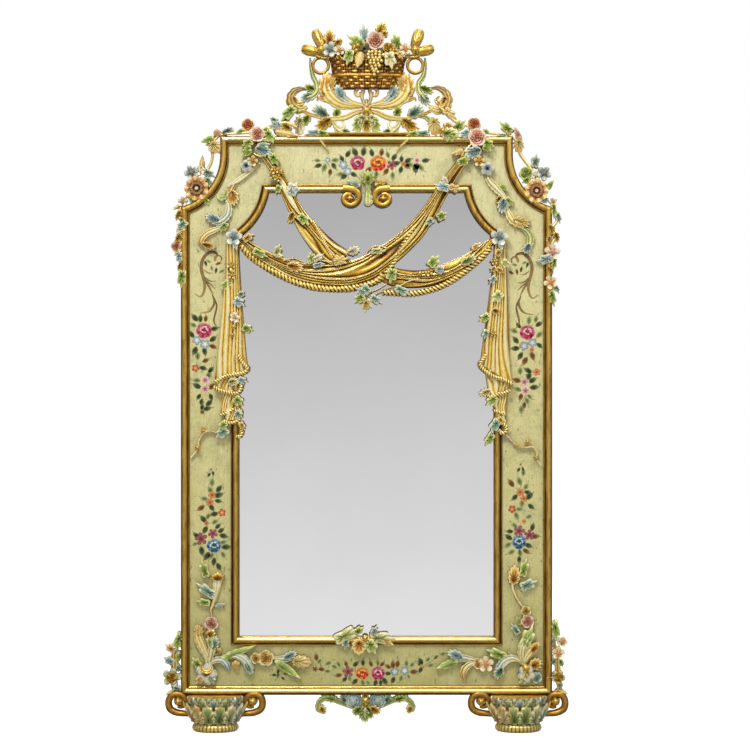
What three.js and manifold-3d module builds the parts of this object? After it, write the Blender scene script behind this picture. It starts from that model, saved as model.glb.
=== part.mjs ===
// A tall trumeau mirror: painted frame, gilded mouldings, openwork crest, carved swags, vase feet.
// Millimetres. Everything is drawn as seen from the front: X to the right, Y up from the floor and
// Z out from the wall. The last lines stand it up, with +Z up and its face towards -Y.
import * as THREE from "three";
import { mergeVertices } from "three/addons/utils/BufferGeometryUtils.js";
import Module from "manifold-3d";

const wasm = await Module();
wasm.setup();

// ---------- Driving dimensions ----------

// The frame's outline
const FRAME_HALF_WIDTH = 525;
const FRAME_BOTTOM = 100; // the underside, standing on the feet
const FRAME_TOP = 1680;
const NECK_HALF_WIDTH = 414; // above the coves
const NECK_HEIGHT = 53; // the straight upright above each cove
const COVE_RADIUS = 153;

// The sight opening, inside the inner moulding
const SIDE_BORDER = 165;
const BOTTOM_BORDER = 165;
const TOP_BORDER = 160;
const SIGHT_ARC_RADIUS = 197;
const SIGHT_ARC_OUT = 110; // the arc's centre, beyond the opening's side
const SIGHT_ARC_UP = 37; // the arc's centre, above the opening's top

// Boards, glass and backing
const BOARD_THICKNESS = 38;
const LIP_THICKNESS = 8; // what is left of the board in front of the rebate
const REBATE_WIDTH = 14;
const GLASS_MARGIN = 12; // how far the glass reaches past the sight edge
const GLASS_THICKNESS = 5;
const BACKING_THICKNESS = 8;
const BATTEN_WIDTH = 20;
const BATTEN_THICKNESS = 12;
const SEAT_GAP = 0.3; // clearance between pieces that seat on each other

// Gilded mouldings
const OUTER_MOULDING_WIDTH = 25;
const INNER_MOULDING_WIDTH = 24;
const BEAD_HEIGHT = 14;
const VOLUTE_OUT = 45; // the volutes' centres, from the centre line
const VOLUTE_DROP = 17; // and below the sight edge
const VOLUTE_RADIUS = 17;

// Hanger plates on the back
const PLATE_WIDTH = 40;
const PLATE_HEIGHT = 120;
const PLATE_THICKNESS = 2.5;
const PLATE_RISE = 60; // the plate's middle, above the boards' shoulder joint
const KEYHOLE_RADIUS = 6;
const SCREW_RADIUS = 2.2;
const SCREW_HEAD_RADIUS = 4;
const SCREW_LENGTH = 22;
const SCREW_SPREAD = 42; // from the plate's middle

// Feet
const FOOT_INSET = 100; // a foot's axis, in from the frame's side
const FOOT_AXIS_OUT = 42; // and out from the wall
const FOOT_DEPTH_RATIO = 0.85; // plan depth over plan width
const FOOT_RING_RADIUS = 63;
const FOOT_NECK_RADIUS = 52;
const FOOT_RIM_RADIUS = 80;
const HANDLE_DEPTH = 34;

// Carving
const BLOOM_HEIGHT = 19;
const BAND_THICKNESS = 13;
const SWAG_THICKNESS = 30;
const DRAPE_THICKNESS = 30;
const EDGE_CARVING_OUT = 24; // the back of what is carved round the frame's edge, from the wall
const CREST_OUT = 12; // the back of the crest, from the wall
const CREST_THICKNESS = 26;
const ROPE_HALF_WIDTH = 9;
const ROSE_OUT = 300; // the rose sprays, from the centre line

// The sides, as signs of x seen from the front
const LEFT = -1;
const RIGHT = 1;

// ---------- Sizes that follow ----------

const SIGHT_HALF_WIDTH = FRAME_HALF_WIDTH - SIDE_BORDER;
const SIGHT_BOTTOM = FRAME_BOTTOM + BOTTOM_BORDER;
const SIGHT_TOP = FRAME_TOP - TOP_BORDER;
const SIGHT_ARC = { x: SIGHT_HALF_WIDTH + SIGHT_ARC_OUT, y: SIGHT_TOP + SIGHT_ARC_UP };
const COVE = { x: NECK_HALF_WIDTH + COVE_RADIUS, y: FRAME_TOP - NECK_HEIGHT };
const FACE = BOARD_THICKNESS;
const ON_FACE = FACE + SEAT_GAP;
const INNER_EDGE = FRAME_HALF_WIDTH - OUTER_MOULDING_WIDTH;
const SHOULDER = heightOnCove(0);
const JOINT = { x: topOfSightArc(0), y: sideOfSightArc(0) };
const FOOT_AXIS = FRAME_HALF_WIDTH - FOOT_INSET;

// Where the cove, moved in by inset, meets the frame's side
function heightOnCove(inset) {
  return COVE.y - Math.sqrt((COVE_RADIUS + inset) ** 2 - (COVE.x - FRAME_HALF_WIDTH + inset) ** 2);
}

// Where the sight arc, moved out by offset, meets the opening's side and its top
function sideOfSightArc(offset) {
  return SIGHT_ARC.y - Math.sqrt((SIGHT_ARC_RADIUS - offset) ** 2 - (SIGHT_ARC_OUT - offset) ** 2);
}
function topOfSightArc(offset) {
  return SIGHT_ARC.x - Math.sqrt((SIGHT_ARC_RADIUS - offset) ** 2 - (SIGHT_ARC_UP - offset) ** 2);
}

// ---------- Solids ----------

// A closed geometry as a solid, facing outwards whichever way it was wound
function solid(geometry) {
  const bare = geometry.clone();
  bare.deleteAttribute("normal");
  bare.deleteAttribute("uv");
  const merged = mergeVertices(bare, 1e-4);
  const vertProperties = merged.attributes.position.array;
  const triVerts = new Uint32Array(merged.index.array);
  const made = new wasm.Manifold(new wasm.Mesh({ numProp: 3, vertProperties, triVerts }));
  if (made.volume() > 0) return made;
  triVerts.reverse();
  return new wasm.Manifold(new wasm.Mesh({ numProp: 3, vertProperties, triVerts }));
}

const join = (solids) => solids.reduce((all, next) => all.add(next));
const cut = (body, tools) => tools.reduce((left, tool) => left.subtract(tool), body);

// Cutting can leave chips; the carved piece is the largest body
function mainBody(body) {
  return body.decompose().reduce((a, b) => (a.volume() > b.volume() ? a : b));
}

function geometryOf(body) {
  const mesh = body.getMesh();
  return new THREE.BufferGeometry()
    .setAttribute("position", new THREE.BufferAttribute(mesh.vertProperties, 3))
    .setIndex(new THREE.BufferAttribute(mesh.triVerts, 1));
}

// A skin over rings of points, closed at both ends by flat caps
function skin(rings) {
  const count = rings[0].length;
  const index = [];
  for (let r = 0; r + 1 < rings.length; r++) {
    for (let k = 0; k < count; k++) {
      const a = r * count + k;
      const b = r * count + ((k + 1) % count);
      index.push(a, b, a + count, b, b + count, a + count);
    }
  }
  const last = (rings.length - 1) * count;
  for (const [i, j, k] of capFaces(rings[0])) index.push(k, j, i);
  for (const [i, j, k] of capFaces(rings.at(-1))) index.push(last + i, last + j, last + k);
  return new THREE.BufferGeometry().setFromPoints(rings.flat()).setIndex(index);
}

// Triangles over a ring, drawn on the plane that shows it largest
function capFaces(ring) {
  const normal = new THREE.Vector3();
  ring.forEach((p, k) => normal.add(p.clone().cross(ring[(k + 1) % ring.length])));
  normal.normalize();
  const across = new THREE.Vector3(normal.y, normal.z, normal.x).cross(normal).normalize();
  const up = normal.clone().cross(across);
  const flat = ring.map((p) => new THREE.Vector2(p.dot(across), p.dot(up)));
  return THREE.ShapeUtils.triangulateShape(flat, []);
}

function box(x0, x1, y0, y1, z0, z1) {
  return new THREE.BoxGeometry(x1 - x0, y1 - y0, z1 - z0)
    .translate((x0 + x1) / 2, (y0 + y1) / 2, (z0 + z1) / 2);
}

function plate(outline, z0, z1) {
  const shape = new THREE.Shape(outline);
  return new THREE.ExtrudeGeometry(shape, { depth: z1 - z0, bevelEnabled: false }).translate(0, 0, z0);
}

const mirrored = (geometry, side) => geometry.scale(side, 1, 1);

// ---------- The frame's lines ----------

const point = (x, y) => new THREE.Vector2(x, y);

function arc(centre, radius, from, to, steps) {
  return Array.from({ length: steps + 1 }, (_, k) => {
    const angle = from + ((to - from) * k) / steps;
    return point(centre.x + radius * Math.cos(angle), centre.y + radius * Math.sin(angle));
  });
}

const ARC_STEPS = 7;

// The right cove from the frame's side to the neck, moved in by inset
function coveLine(inset) {
  const radius = COVE_RADIUS + inset;
  const start = Math.PI + Math.acos((COVE.x - FRAME_HALF_WIDTH + inset) / radius);
  return arc(COVE, radius, start, Math.PI, ARC_STEPS);
}

// The right sight arc from the opening's side to its top, moved out by offset
function sightArcLine(offset) {
  const radius = SIGHT_ARC_RADIUS - offset;
  const start = Math.PI + Math.acos((SIGHT_ARC_OUT - offset) / radius);
  const end = Math.PI + Math.asin((SIGHT_ARC_UP - offset) / radius);
  return arc(SIGHT_ARC, radius, start, end, ARC_STEPS);
}

const flip = (points) => points.map((p) => point(-p.x, p.y)).reverse();

function frameOutline(inset) {
  const right = [
    point(FRAME_HALF_WIDTH - inset, FRAME_BOTTOM + inset),
    ...coveLine(inset),
    point(NECK_HALF_WIDTH - inset, FRAME_TOP - inset),
  ];
  return [...right, ...flip(right)];
}

function sightOutline(offset) {
  const right = [point(SIGHT_HALF_WIDTH + offset, SIGHT_BOTTOM - offset), ...sightArcLine(offset)];
  return [...right, ...flip(right)];
}

// ---------- Boards, glass and backing ----------

const BACK_OF_LIP = BOARD_THICKNESS - LIP_THICKNESS;
const rebate = solid(plate(sightOutline(REBATE_WIDTH), -1, BACK_OF_LIP));
const sight = solid(plate(sightOutline(0), -1, BOARD_THICKNESS + 1));

const board = (geometry) => cut(solid(geometry), [rebate, sight]);

const stile = (side) =>
  board(mirrored(box(SIGHT_HALF_WIDTH, FRAME_HALF_WIDTH, FRAME_BOTTOM, JOINT.y, 0, FACE), side));

function shoulderBlock(side) {
  const outline = [
    point(SIGHT_HALF_WIDTH, JOINT.y),
    point(FRAME_HALF_WIDTH, JOINT.y),
    ...coveLine(0),
    point(NECK_HALF_WIDTH, FRAME_TOP),
    point(JOINT.x, FRAME_TOP),
    point(JOINT.x, SIGHT_TOP),
  ];
  const pocket = mirrored(plateBox(SEAT_GAP, PLATE_THICKNESS + SEAT_GAP), side);
  const holes = [-1, 1].map((end) => solid(mirrored(screwHole(end), side)));
  return cut(board(mirrored(plate(outline, 0, FACE), side)), [solid(pocket), ...holes]);
}

const topRail = () => board(box(-JOINT.x, JOINT.x, SIGHT_TOP, FRAME_TOP, 0, FACE));
const bottomRail = () =>
  board(box(-SIGHT_HALF_WIDTH, SIGHT_HALF_WIDTH, FRAME_BOTTOM, SIGHT_BOTTOM, 0, FACE));

const GLASS_FRONT = BACK_OF_LIP - SEAT_GAP;
const GLASS_BACK = GLASS_FRONT - GLASS_THICKNESS;
const BACKING_FRONT = GLASS_BACK - SEAT_GAP;
const BACKING_BACK = BACKING_FRONT - BACKING_THICKNESS;
const glass = () => solid(plate(sightOutline(GLASS_MARGIN), GLASS_BACK, GLASS_FRONT));
const backing = () => solid(plate(sightOutline(GLASS_MARGIN), BACKING_BACK, BACKING_FRONT));

// Battens press the backing home, against the rebate's walls
const BATTEN_FRONT = BACKING_BACK - SEAT_GAP;
const BATTEN_BACK = BATTEN_FRONT - BATTEN_THICKNESS;
const BATTEN_OUT = SIGHT_HALF_WIDTH + REBATE_WIDTH - SEAT_GAP;
const BATTEN_LOW = SIGHT_BOTTOM - REBATE_WIDTH + SEAT_GAP;
const BATTEN_HIGH = SIGHT_TOP + REBATE_WIDTH - SEAT_GAP;
const sideBatten = (side) =>
  solid(
    mirrored(
      box(BATTEN_OUT - BATTEN_WIDTH, BATTEN_OUT, BATTEN_LOW, JOINT.y, BATTEN_BACK, BATTEN_FRONT),
      side,
    ),
  );
const BATTEN_REACH = BATTEN_OUT - BATTEN_WIDTH - SEAT_GAP;
const bottomBatten = () =>
  solid(
    box(-BATTEN_REACH, BATTEN_REACH, BATTEN_LOW, BATTEN_LOW + BATTEN_WIDTH, BATTEN_BACK, BATTEN_FRONT),
  );
const topBatten = () =>
  solid(box(-JOINT.x, JOINT.x, BATTEN_HIGH - BATTEN_WIDTH, BATTEN_HIGH, BATTEN_BACK, BATTEN_FRONT));

// Hanger plates, let into the shoulder blocks' backs, each with two countersunk screws
const PLATE_MIDDLE = { x: (INNER_EDGE + SIGHT_HALF_WIDTH) / 2, y: JOINT.y + PLATE_RISE };

function plateBox(room, depth) {
  return box(
    PLATE_MIDDLE.x - PLATE_WIDTH / 2 - room,
    PLATE_MIDDLE.x + PLATE_WIDTH / 2 + room,
    PLATE_MIDDLE.y - PLATE_HEIGHT / 2 - room,
    PLATE_MIDDLE.y + PLATE_HEIGHT / 2 + room,
    room ? -1 : 0,
    depth,
  );
}

const SCREW_SIDES = 6;

function turned(profile, sides) {
  return new THREE.LatheGeometry(profile, sides);
}

function screwShape(room) {
  const head = SCREW_HEAD_RADIUS + room;
  const shank = SCREW_RADIUS + room;
  const start = room ? -1 : 0;
  const profile = [
    point(0, start),
    point(head, start),
    point(head, room / 2),
    point(shank, PLATE_THICKNESS - 0.5),
    point(shank, SCREW_LENGTH + room),
    point(0, SCREW_LENGTH + room),
  ];
  return turned(profile, SCREW_SIDES).rotateX(Math.PI / 2);
}

const screwAt = (geometry, end) =>
  geometry.translate(PLATE_MIDDLE.x, PLATE_MIDDLE.y + end * SCREW_SPREAD, 0);
const screwHole = (end) => screwAt(screwShape(SEAT_GAP), end);
const screw = (side, end) => solid(mirrored(screwAt(screwShape(0), end), side));

function hangerPlate(side) {
  const keyhole = new THREE.CylinderGeometry(KEYHOLE_RADIUS, KEYHOLE_RADIUS, 20, SCREW_SIDES)
    .rotateX(Math.PI / 2)
    .translate(PLATE_MIDDLE.x, PLATE_MIDDLE.y, 0);
  const holes = [keyhole, screwHole(-1), screwHole(1)].map((hole) => solid(mirrored(hole, side)));
  return cut(solid(mirrored(plateBox(0, PLATE_THICKNESS), side)), holes);
}

// ---------- Gilded mouldings ----------

// A half-round bead with a step at each edge: [distance across, height] as shares
const BEAD_PROFILE = [
  [0, 0],
  [0, 0.4],
  [0.14, 0.85],
  [0.38, 1],
  [0.62, 0.85],
  [0.78, 0.3],
  [1, 0.22],
  [1, 0],
];

// A moulding along a line that moves sideways with each point of its profile
function moulding(lineAt, width, ease) {
  const columns = BEAD_PROFILE.map(([share, rise]) => {
    const grown = ease * (2 * share - 1);
    const height = rise > 0 ? rise * BEAD_HEIGHT + ease : -ease;
    return lineAt(share * width + grown).map((p) => new THREE.Vector3(p.x, p.y, FACE + height));
  });
  return skin(columns[0].map((_, k) => columns.map((column) => column[k])));
}

const outerBottomLine = (inset) => frameOutline(inset).filter((p) => p.y < FRAME_BOTTOM + inset + 1);
const outerSideLine = (inset) => [
  point(FRAME_HALF_WIDTH - inset, FRAME_BOTTOM + inset),
  point(FRAME_HALF_WIDTH - inset, heightOnCove(inset)),
];
const outerCoveLine = (inset) => [
  ...coveLine(inset),
  point(NECK_HALF_WIDTH - inset, FRAME_TOP - inset),
];
const outerTopLine = (inset) => [
  point(NECK_HALF_WIDTH - inset, FRAME_TOP - inset),
  point(-NECK_HALF_WIDTH + inset, FRAME_TOP - inset),
];
const innerBottomLine = (offset) => [
  point(-SIGHT_HALF_WIDTH - offset, SIGHT_BOTTOM - offset),
  point(SIGHT_HALF_WIDTH + offset, SIGHT_BOTTOM - offset),
];
const innerSideLine = (offset) => [
  point(SIGHT_HALF_WIDTH + offset, SIGHT_BOTTOM - offset),
  point(SIGHT_HALF_WIDTH + offset, sideOfSightArc(offset)),
];
const innerTopLine = (offset) => [
  point(topOfSightArc(offset), SIGHT_TOP + offset),
  point(VOLUTE_OUT + VOLUTE_RADIUS / 2, SIGHT_TOP + offset),
];

// The top moulding rolls down into a volute beside the centre leaf
function innerTop(ease) {
  const centre = { x: VOLUTE_OUT, y: SIGHT_TOP - VOLUTE_DROP };
  const half = INNER_MOULDING_WIDTH / 2;
  const turns = [
    [centre.x + VOLUTE_RADIUS, SIGHT_TOP + half, half],
    [centre.x, SIGHT_TOP + half - 1, half],
    [centre.x - 0.8 * VOLUTE_RADIUS, SIGHT_TOP - 3, half - 2],
    [centre.x - 0.9 * VOLUTE_RADIUS, centre.y - 4, half - 4],
    [centre.x, centre.y - 0.9 * VOLUTE_RADIUS, half - 5],
    [centre.x + VOLUTE_RADIUS, centre.y - 2, half - 5],
    [centre.x + 4, centre.y + 0.7 * VOLUTE_RADIUS, half - 6],
  ];
  return join([
    solid(moulding(innerTopLine, INNER_MOULDING_WIDTH, ease)),
    solid(band(turns, ON_FACE - SEAT_GAP, BEAD_HEIGHT, ease)),
    solid(bloom(centre.x, centre.y, 0.7 * VOLUTE_RADIUS, ON_FACE - SEAT_GAP, BEAD_HEIGHT + 3, ease)),
  ]);
}

const outerPiece = (line) => (ease) => solid(moulding(line, OUTER_MOULDING_WIDTH, ease));
const innerPiece = (line) => (ease) => solid(moulding(line, INNER_MOULDING_WIDTH, ease));

// ---------- Carver's shapes ----------

// Each shape lies on the plane z = base and can be grown all round by ease, to cut its neighbours

// Low carving has a ridge; what stands higher than a moulding has a rounded back
const RIDGE_PROFILE = [
  [-1, 0],
  [0, 1],
  [1, 0],
];
const BAND_PROFILE = [
  [-1, 0],
  [-0.62, 1],
  [0.62, 1],
  [1, 0],
];

const profileFor = (height) => (height > BEAD_HEIGHT + 4 ? BAND_PROFILE : RIDGE_PROFILE);

function leaf(x0, y0, x1, y1, width, base, height, ease) {
  const length = Math.hypot(x1 - x0, y1 - y0);
  const along = point((x1 - x0) / length, (y1 - y0) / length);
  const ring = (at, half, rise) =>
    profileFor(height).map(([share, up]) => {
      const out = share * (half + 2 * ease);
      const x = x0 + along.x * at - along.y * out;
      const y = y0 + along.y * at + along.x * out;
      return new THREE.Vector3(x, y, up ? base + up * rise + 2 * ease : base - ease);
    });
  return skin([
    ring(-ease, 0.2 * width, 0.6 * height),
    ring(0.45 * length, 0.5 * width, height),
    ring(length + ease, 0.13 * width, 0.5 * height),
  ]);
}

const BLOOM_SIDES = 6;

function bloom(x, y, radius, base, height, ease) {
  const ring = (share, z) =>
    Array.from({ length: BLOOM_SIDES }, (_, k) => {
      const angle = (2 * Math.PI * k) / BLOOM_SIDES;
      const reach = radius * share + 1.2 * ease;
      return new THREE.Vector3(x + reach * Math.cos(angle), y + reach * Math.sin(angle), z);
    });
  return skin([
    ring(0.7, base - ease),
    ring(1, base + 0.55 * height),
    ring(0.5, base + height + ease),
  ]);
}

// A bud or an egg-shaped knob from one point to another
const BUD_SIDES = 5;

function bud(x0, y0, x1, y1, radius, middle, ease) {
  const length = Math.hypot(x1 - x0, y1 - y0);
  const along = point((x1 - x0) / length, (y1 - y0) / length);
  const ring = (share, fullness) =>
    Array.from({ length: BUD_SIDES }, (_, k) => {
      const angle = (2 * Math.PI * k) / BUD_SIDES;
      const out = (radius * fullness + 1.2 * ease) * Math.cos(angle);
      const at = length * share + (share > 0.5 ? ease : -ease);
      return new THREE.Vector3(
        x0 + along.x * at - along.y * out,
        y0 + along.y * at + along.x * out,
        middle + (radius * fullness + 1.2 * ease) * Math.sin(angle),
      );
    });
  return skin([ring(0, 0.45), ring(0.55, 1), ring(1, 0.35)]);
}

// Points [x, y, half width] joined by a smooth curve
function along(points, stepsEach) {
  const curve = new THREE.CatmullRomCurve3(points.map((p) => new THREE.Vector3(...p)));
  const steps = stepsEach * (points.length - 1);
  return Array.from({ length: steps + 1 }, (_, k) => {
    const at = curve.getPoint(k / steps);
    const way = curve.getTangent(k / steps);
    const length = Math.hypot(way.x, way.y);
    return { x: at.x, y: at.y, half: at.z, acrossX: -way.y / length, acrossY: way.x / length };
  });
}

// A rounded band along a curve: a scroll, a stem or a rope
function band(points, base, thickness, ease, stepsEach = 1) {
  return skin(
    along(points, stepsEach).map(({ x, y, half, acrossX, acrossY }) =>
      profileFor(thickness).map(([share, rise]) => {
        const out = share * (half + 1.5 * ease);
        const z = rise > 0 ? base + rise * thickness + 1.5 * ease : base - ease;
        return new THREE.Vector3(x + acrossX * out, y + acrossY * out, z);
      }),
    ),
  );
}

// Folded cloth carved in the round: rows of [left x, left y, right x, right y]
function folds(rows, ridges, base, thickness, ease) {
  const count = 2 * ridges + 1;
  return skin(
    rows.map(([x0, y0, x1, y1]) => {
      const across = point(x1 - x0, y1 - y0).normalize().multiplyScalar(1.5 * ease);
      const front = Array.from({ length: count }, (_, k) => {
        const share = k / (count - 1);
        const crown = Math.sin(Math.PI * Math.min(Math.max(share, 0.06), 0.94));
        const fold = k % 2 ? 1 : 0.66;
        const z = base + thickness * (0.35 + 0.65 * crown) * fold + 1.5 * ease;
        const side = 2 * share - 1;
        return new THREE.Vector3(
          x0 + (x1 - x0) * share + across.x * side,
          y0 + (y1 - y0) * share + across.y * side,
          z,
        );
      });
      const back = [
        new THREE.Vector3(x1 + across.x, y1 + across.y, base - ease),
        new THREE.Vector3(x0 - across.x, y0 - across.y, base - ease),
      ];
      return [...front, ...back];
    }),
  );
}

const rowsAlong = (points, stepsEach) =>
  along(points, stepsEach).map(({ x, y, half, acrossX, acrossY }) => [
    x - acrossX * half,
    y - acrossY * half,
    x + acrossX * half,
    y + acrossY * half,
  ]);

// A carving list, drawn for the right-hand side about an anchor, as one solid:
// leaves [from x, from y, to x, to y, width], blooms [x, y, radius], buds [from, to, radius] and
// bands of [x, y, half width]
function carving(list, anchor, side, base, ease) {
  const { leaves = [], blooms = [], buds = [], bands = [], thickness = BAND_THICKNESS } = list;
  const ax = anchor.x;
  const ay = anchor.y;
  const shapes = [
    ...leaves.map(([x0, y0, x1, y1, width]) =>
      leaf(ax + x0, ay + y0, ax + x1, ay + y1, width, base, thickness + 2, ease),
    ),
    ...blooms.map(([x, y, radius]) =>
      bloom(ax + x, ay + y, radius, base, thickness + Math.min(radius, BLOOM_HEIGHT) / 2, ease),
    ),
    ...buds.map(([x0, y0, x1, y1, radius]) =>
      bud(ax + x0, ay + y0, ax + x1, ay + y1, radius, base + thickness / 2, ease),
    ),
    ...bands.map((points) =>
      band(points.map(([x, y, half]) => [ax + x, ay + y, half]), base, thickness, ease),
    ),
  ];
  return join(shapes.map((shape) => solid(mirrored(shape, side))));
}

// ---------- Where things hang on ----------

const MIDDLE_TOP = { x: 0, y: FRAME_TOP };
const MIDDLE_BOTTOM = { x: 0, y: FRAME_BOTTOM };
const SILL = { x: 0, y: SIGHT_BOTTOM };
const HEAD = { x: 0, y: SIGHT_TOP };
const CORNER = { x: FRAME_HALF_WIDTH, y: FRAME_BOTTOM };
const SHOULDER_CORNER = { x: FRAME_HALF_WIDTH, y: SHOULDER };
const ROSE = { x: ROSE_OUT, y: FRAME_TOP };
const SIGHT_CORNER = { x: SIGHT_HALF_WIDTH, y: SIGHT_TOP };

const OVER_MOULDING = BEAD_HEIGHT + 12;
const EDGE_THICKNESS = FACE + BEAD_HEIGHT + 12 - EDGE_CARVING_OUT;

// ---------- Crest ----------

const RAIL_HALF_WIDTH = 120;
const RAIL_HEIGHT = 12;

const crestScroll = {
  thickness: CREST_THICKNESS,
  bands: [
    [[6, 74, 8], [37, 64, 6], [63, 54, 6], [100, 53, 6], [140, 57, 7], [178, 70, 9]],
    [[160, 132, 5], [190, 137, 9], [217, 122, 14], [223, 98, 15], [204, 76, 12], [178, 70, 8]],
    [[168, 206, 5], [150, 182, 6], [146, 157, 7], [157, 128, 7], [171, 98, 5]],
    [[108, 174, 3], [119, 152, 13], [112, 124, 14], [88, 102, 11], [52, 90, 8], [10, 86, 9]],
    [[84, 142, 3], [90, 124, 8], [84, 104, 8]],
    [[14, 128, 4], [22, 139, 5], [33, 130, 5], [27, 117, 5], [14, 108, 5], [12, 92, 6]],
    [[26, 92, 5], [44, 108, 5], [66, 108, 4]],
    [[102, 51, 5], [86, 42, 5], [72, 24, 5], [52, 14, 5]],
    [[182, 64, 6], [193, 44, 12], [197, 22, 10], [196, SEAT_GAP, 6]],
  ],
  leaves: [
    [140, 54, 147, 88, 26],
    [84, 50, 88, 86, 18],
    [102, 56, 152, 26, 26],
    [100, 52, 140, 12, 18],
    [158, 60, 186, 24, 16],
    [160, 112, 190, 132, 16],
    [204, 80, 226, 56, 12],
  ],
  blooms: [[12, 80, 13]],
};

const centreShell = {
  thickness: CREST_THICKNESS,
  leaves: [
    [0, 76, 0, RAIL_HEIGHT - 6, 34],
    [5, 70, 20, RAIL_HEIGHT - 4, 18],
    [-5, 70, -20, RAIL_HEIGHT - 4, 18],
    [8, 66, 38, 20, 20],
    [-8, 66, -38, 20, 20],
  ],
};

const crestBud = {
  thickness: 12,
  bands: [
    [[96, 236, 6], [116, 236, 5], [136, 250, 4], [148, 270, 5]],
    [[112, 236, 5], [142, 238, 4], [162, 248, 5]],
  ],
  buds: [
    [145, 264, 160, 302, 15],
    [158, 244, 190, 264, 14],
  ],
};

const bouquet = {
  thickness: CREST_THICKNESS + 4,
  bands: [
    [[-106, 232, 12], [-50, 240, 20], [0, 246, 24], [50, 242, 20], [106, 232, 12]],
    [[34, 280, 5], [42, 298, 6], [44, 312, 4]],
  ],
  blooms: [
    [-103, 246, 17],
    [-75, 240, 14],
    [-28, 252, 14],
    [28, 270, 25],
    [62, 250, 15],
    [109, 247, 15],
  ],
  buds: [[40, 296, 46, 320, 9]],
  leaves: [
    [-98, 250, -110, 296, 24],
    [-84, 246, -80, 284, 14],
    [-60, 250, -40, 290, 20],
    [-24, 256, -8, 312, 24],
    [-10, 262, -22, 292, 16],
    [66, 256, 86, 288, 24],
    [-52, 242, -50, 206, 18],
    [-22, 240, -20, 202, 20],
    [66, 246, 68, 198, 26],
    [94, 240, 96, 214, 16],
  ],
};

const GRAPES = [[27, 236, 16], [28, 206, 15], [25, 184, 10], [23, 168, 4]];

// The basket's profile: [radius, height above the frame]
const BASKET = [
  [0, 136],
  [82, 136],
  [93, 166],
  [102, 170],
  [102, 178],
  [108, 218],
  [112, 222],
  [0, 222],
];
const BASKET_AXIS_OUT = 30;
const BASKET_DEPTH_RATIO = 0.3;
const HANDLE_RING = { x: 135, y: 202, radius: 22, tube: 4 };

function basket(ease) {
  const profile = BASKET.map(([radius, y], k) => {
    const grown = radius > 0 ? radius + ease / BASKET_DEPTH_RATIO : 0;
    return point(grown, FRAME_TOP + y + (k < 2 ? -ease : ease));
  });
  const body = turned(profile, 14).scale(1, 1, BASKET_DEPTH_RATIO).translate(0, 0, BASKET_AXIS_OUT);
  const rings = [-1, 1].map((side) =>
    solid(
      new THREE.TorusGeometry(HANDLE_RING.radius, HANDLE_RING.tube + ease, 5, 12)
        .rotateZ(Math.PI / 12)
        .translate(side * HANDLE_RING.x, FRAME_TOP + HANDLE_RING.y, BASKET_AXIS_OUT),
    ),
  );
  const lugs = [-1, 1].map((side) => solid(mirrored(lug(ease), side)));
  const behind = box(-400, 400, FRAME_TOP, FRAME_TOP + 400, -400, CREST_OUT - ease);
  return cut(join([solid(body), ...rings, ...lugs]), [solid(behind)]);
}

function lug(ease) {
  const x = HANDLE_RING.x - HANDLE_RING.radius;
  const y = FRAME_TOP + HANDLE_RING.y;
  const z = BASKET_AXIS_OUT;
  const half = HANDLE_RING.tube + 1 + ease;
  return box(x - 22, x + 3 + ease, y - half, y + half, z - half, z + half);
}

const crest = (side) => (ease) => carving(crestScroll, MIDDLE_TOP, side, CREST_OUT, ease);
const crestBase = (ease) =>
  carving(centreShell, MIDDLE_TOP, 1, CREST_OUT, ease).add(crestRail(ease));
const crestBuds = (side) => (ease) => carving(crestBud, MIDDLE_TOP, side, BASKET_AXIS_OUT - 6, ease);
const grapes = (ease) =>
  solid(band(GRAPES.map(([x, y, half]) => [x, FRAME_TOP + y, half]), 40, 34, ease));
const basketBouquet = (ease) =>
  join([
    carving(bouquet, MIDDLE_TOP, 1, CREST_OUT + 10, ease),
    grapes(ease),
    crestBuds(LEFT)(ease),
    crestBuds(RIGHT)(ease),
  ]);
const crestRail = (ease) =>
  solid(
    box(
      -RAIL_HALF_WIDTH - ease,
      RAIL_HALF_WIDTH + ease,
      FRAME_TOP - ease,
      FRAME_TOP + RAIL_HEIGHT + ease,
      CREST_OUT - 4 - ease,
      FACE + BEAD_HEIGHT - 4 + ease,
    ),
  );

// ---------- Carving on the frame ----------

const roseSpray = {
  thickness: EDGE_THICKNESS,
  bands: [
    [[-92, 72, 4], [-74, 60, 6], [-52, 42, 7], [-30, 28, 7], [0, 8, 8]],
    [[2, 10, 9], [4, -25, 10], [6, -62, 8], [32, -88, 8]],
  ],
  blooms: [
    [6, 31, 17],
    [11, -5, 22],
    [20, -72, 14],
    [39, -90, 16],
  ],
  leaves: [
    [-62, 48, -58, 74, 16],
    [-40, 36, -42, 16, 26],
    [-28, 22, -84, 4, 20],
    [0, 4, -48, -6, 20],
    [14, -12, 60, -34, 24],
    [0, -32, -34, -62, 32],
    [6, -50, -54, -44, 20],
    [6, -62, -34, -80, 22],
  ],
};

const shoulderSpray = {
  thickness: EDGE_THICKNESS - 6,
  bands: [
    [[-136, 66, 6], [-137, 40, 8], [-134, 8, 7], [-130, -14, 5], [-122, -34, 5], [-104, -48, 7]],
    [[-104, -46, 8], [-98, -72, 9], [-88, -100, 9], [-62, -124, 6], [-42, -134, 6]],
  ],
  blooms: [
    [-72, -50, 17],
    [-97, -48, 11],
    [-87, -97, 31],
    [-44, -132, 12],
  ],
  buds: [[-140, 58, -141, 78, 10]],
  leaves: [
    [-138, 40, -102, 54, 22],
    [-142, 58, -188, 72, 18],
    [-134, 30, -144, -4, 26],
    [-104, -44, -90, -6, 18],
    [-108, -52, -140, -64, 20],
    [-112, -60, -120, -92, 20],
    [-74, -80, -42, -92, 16],
    [-44, -136, -26, -150, 12],
  ],
};

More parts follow.
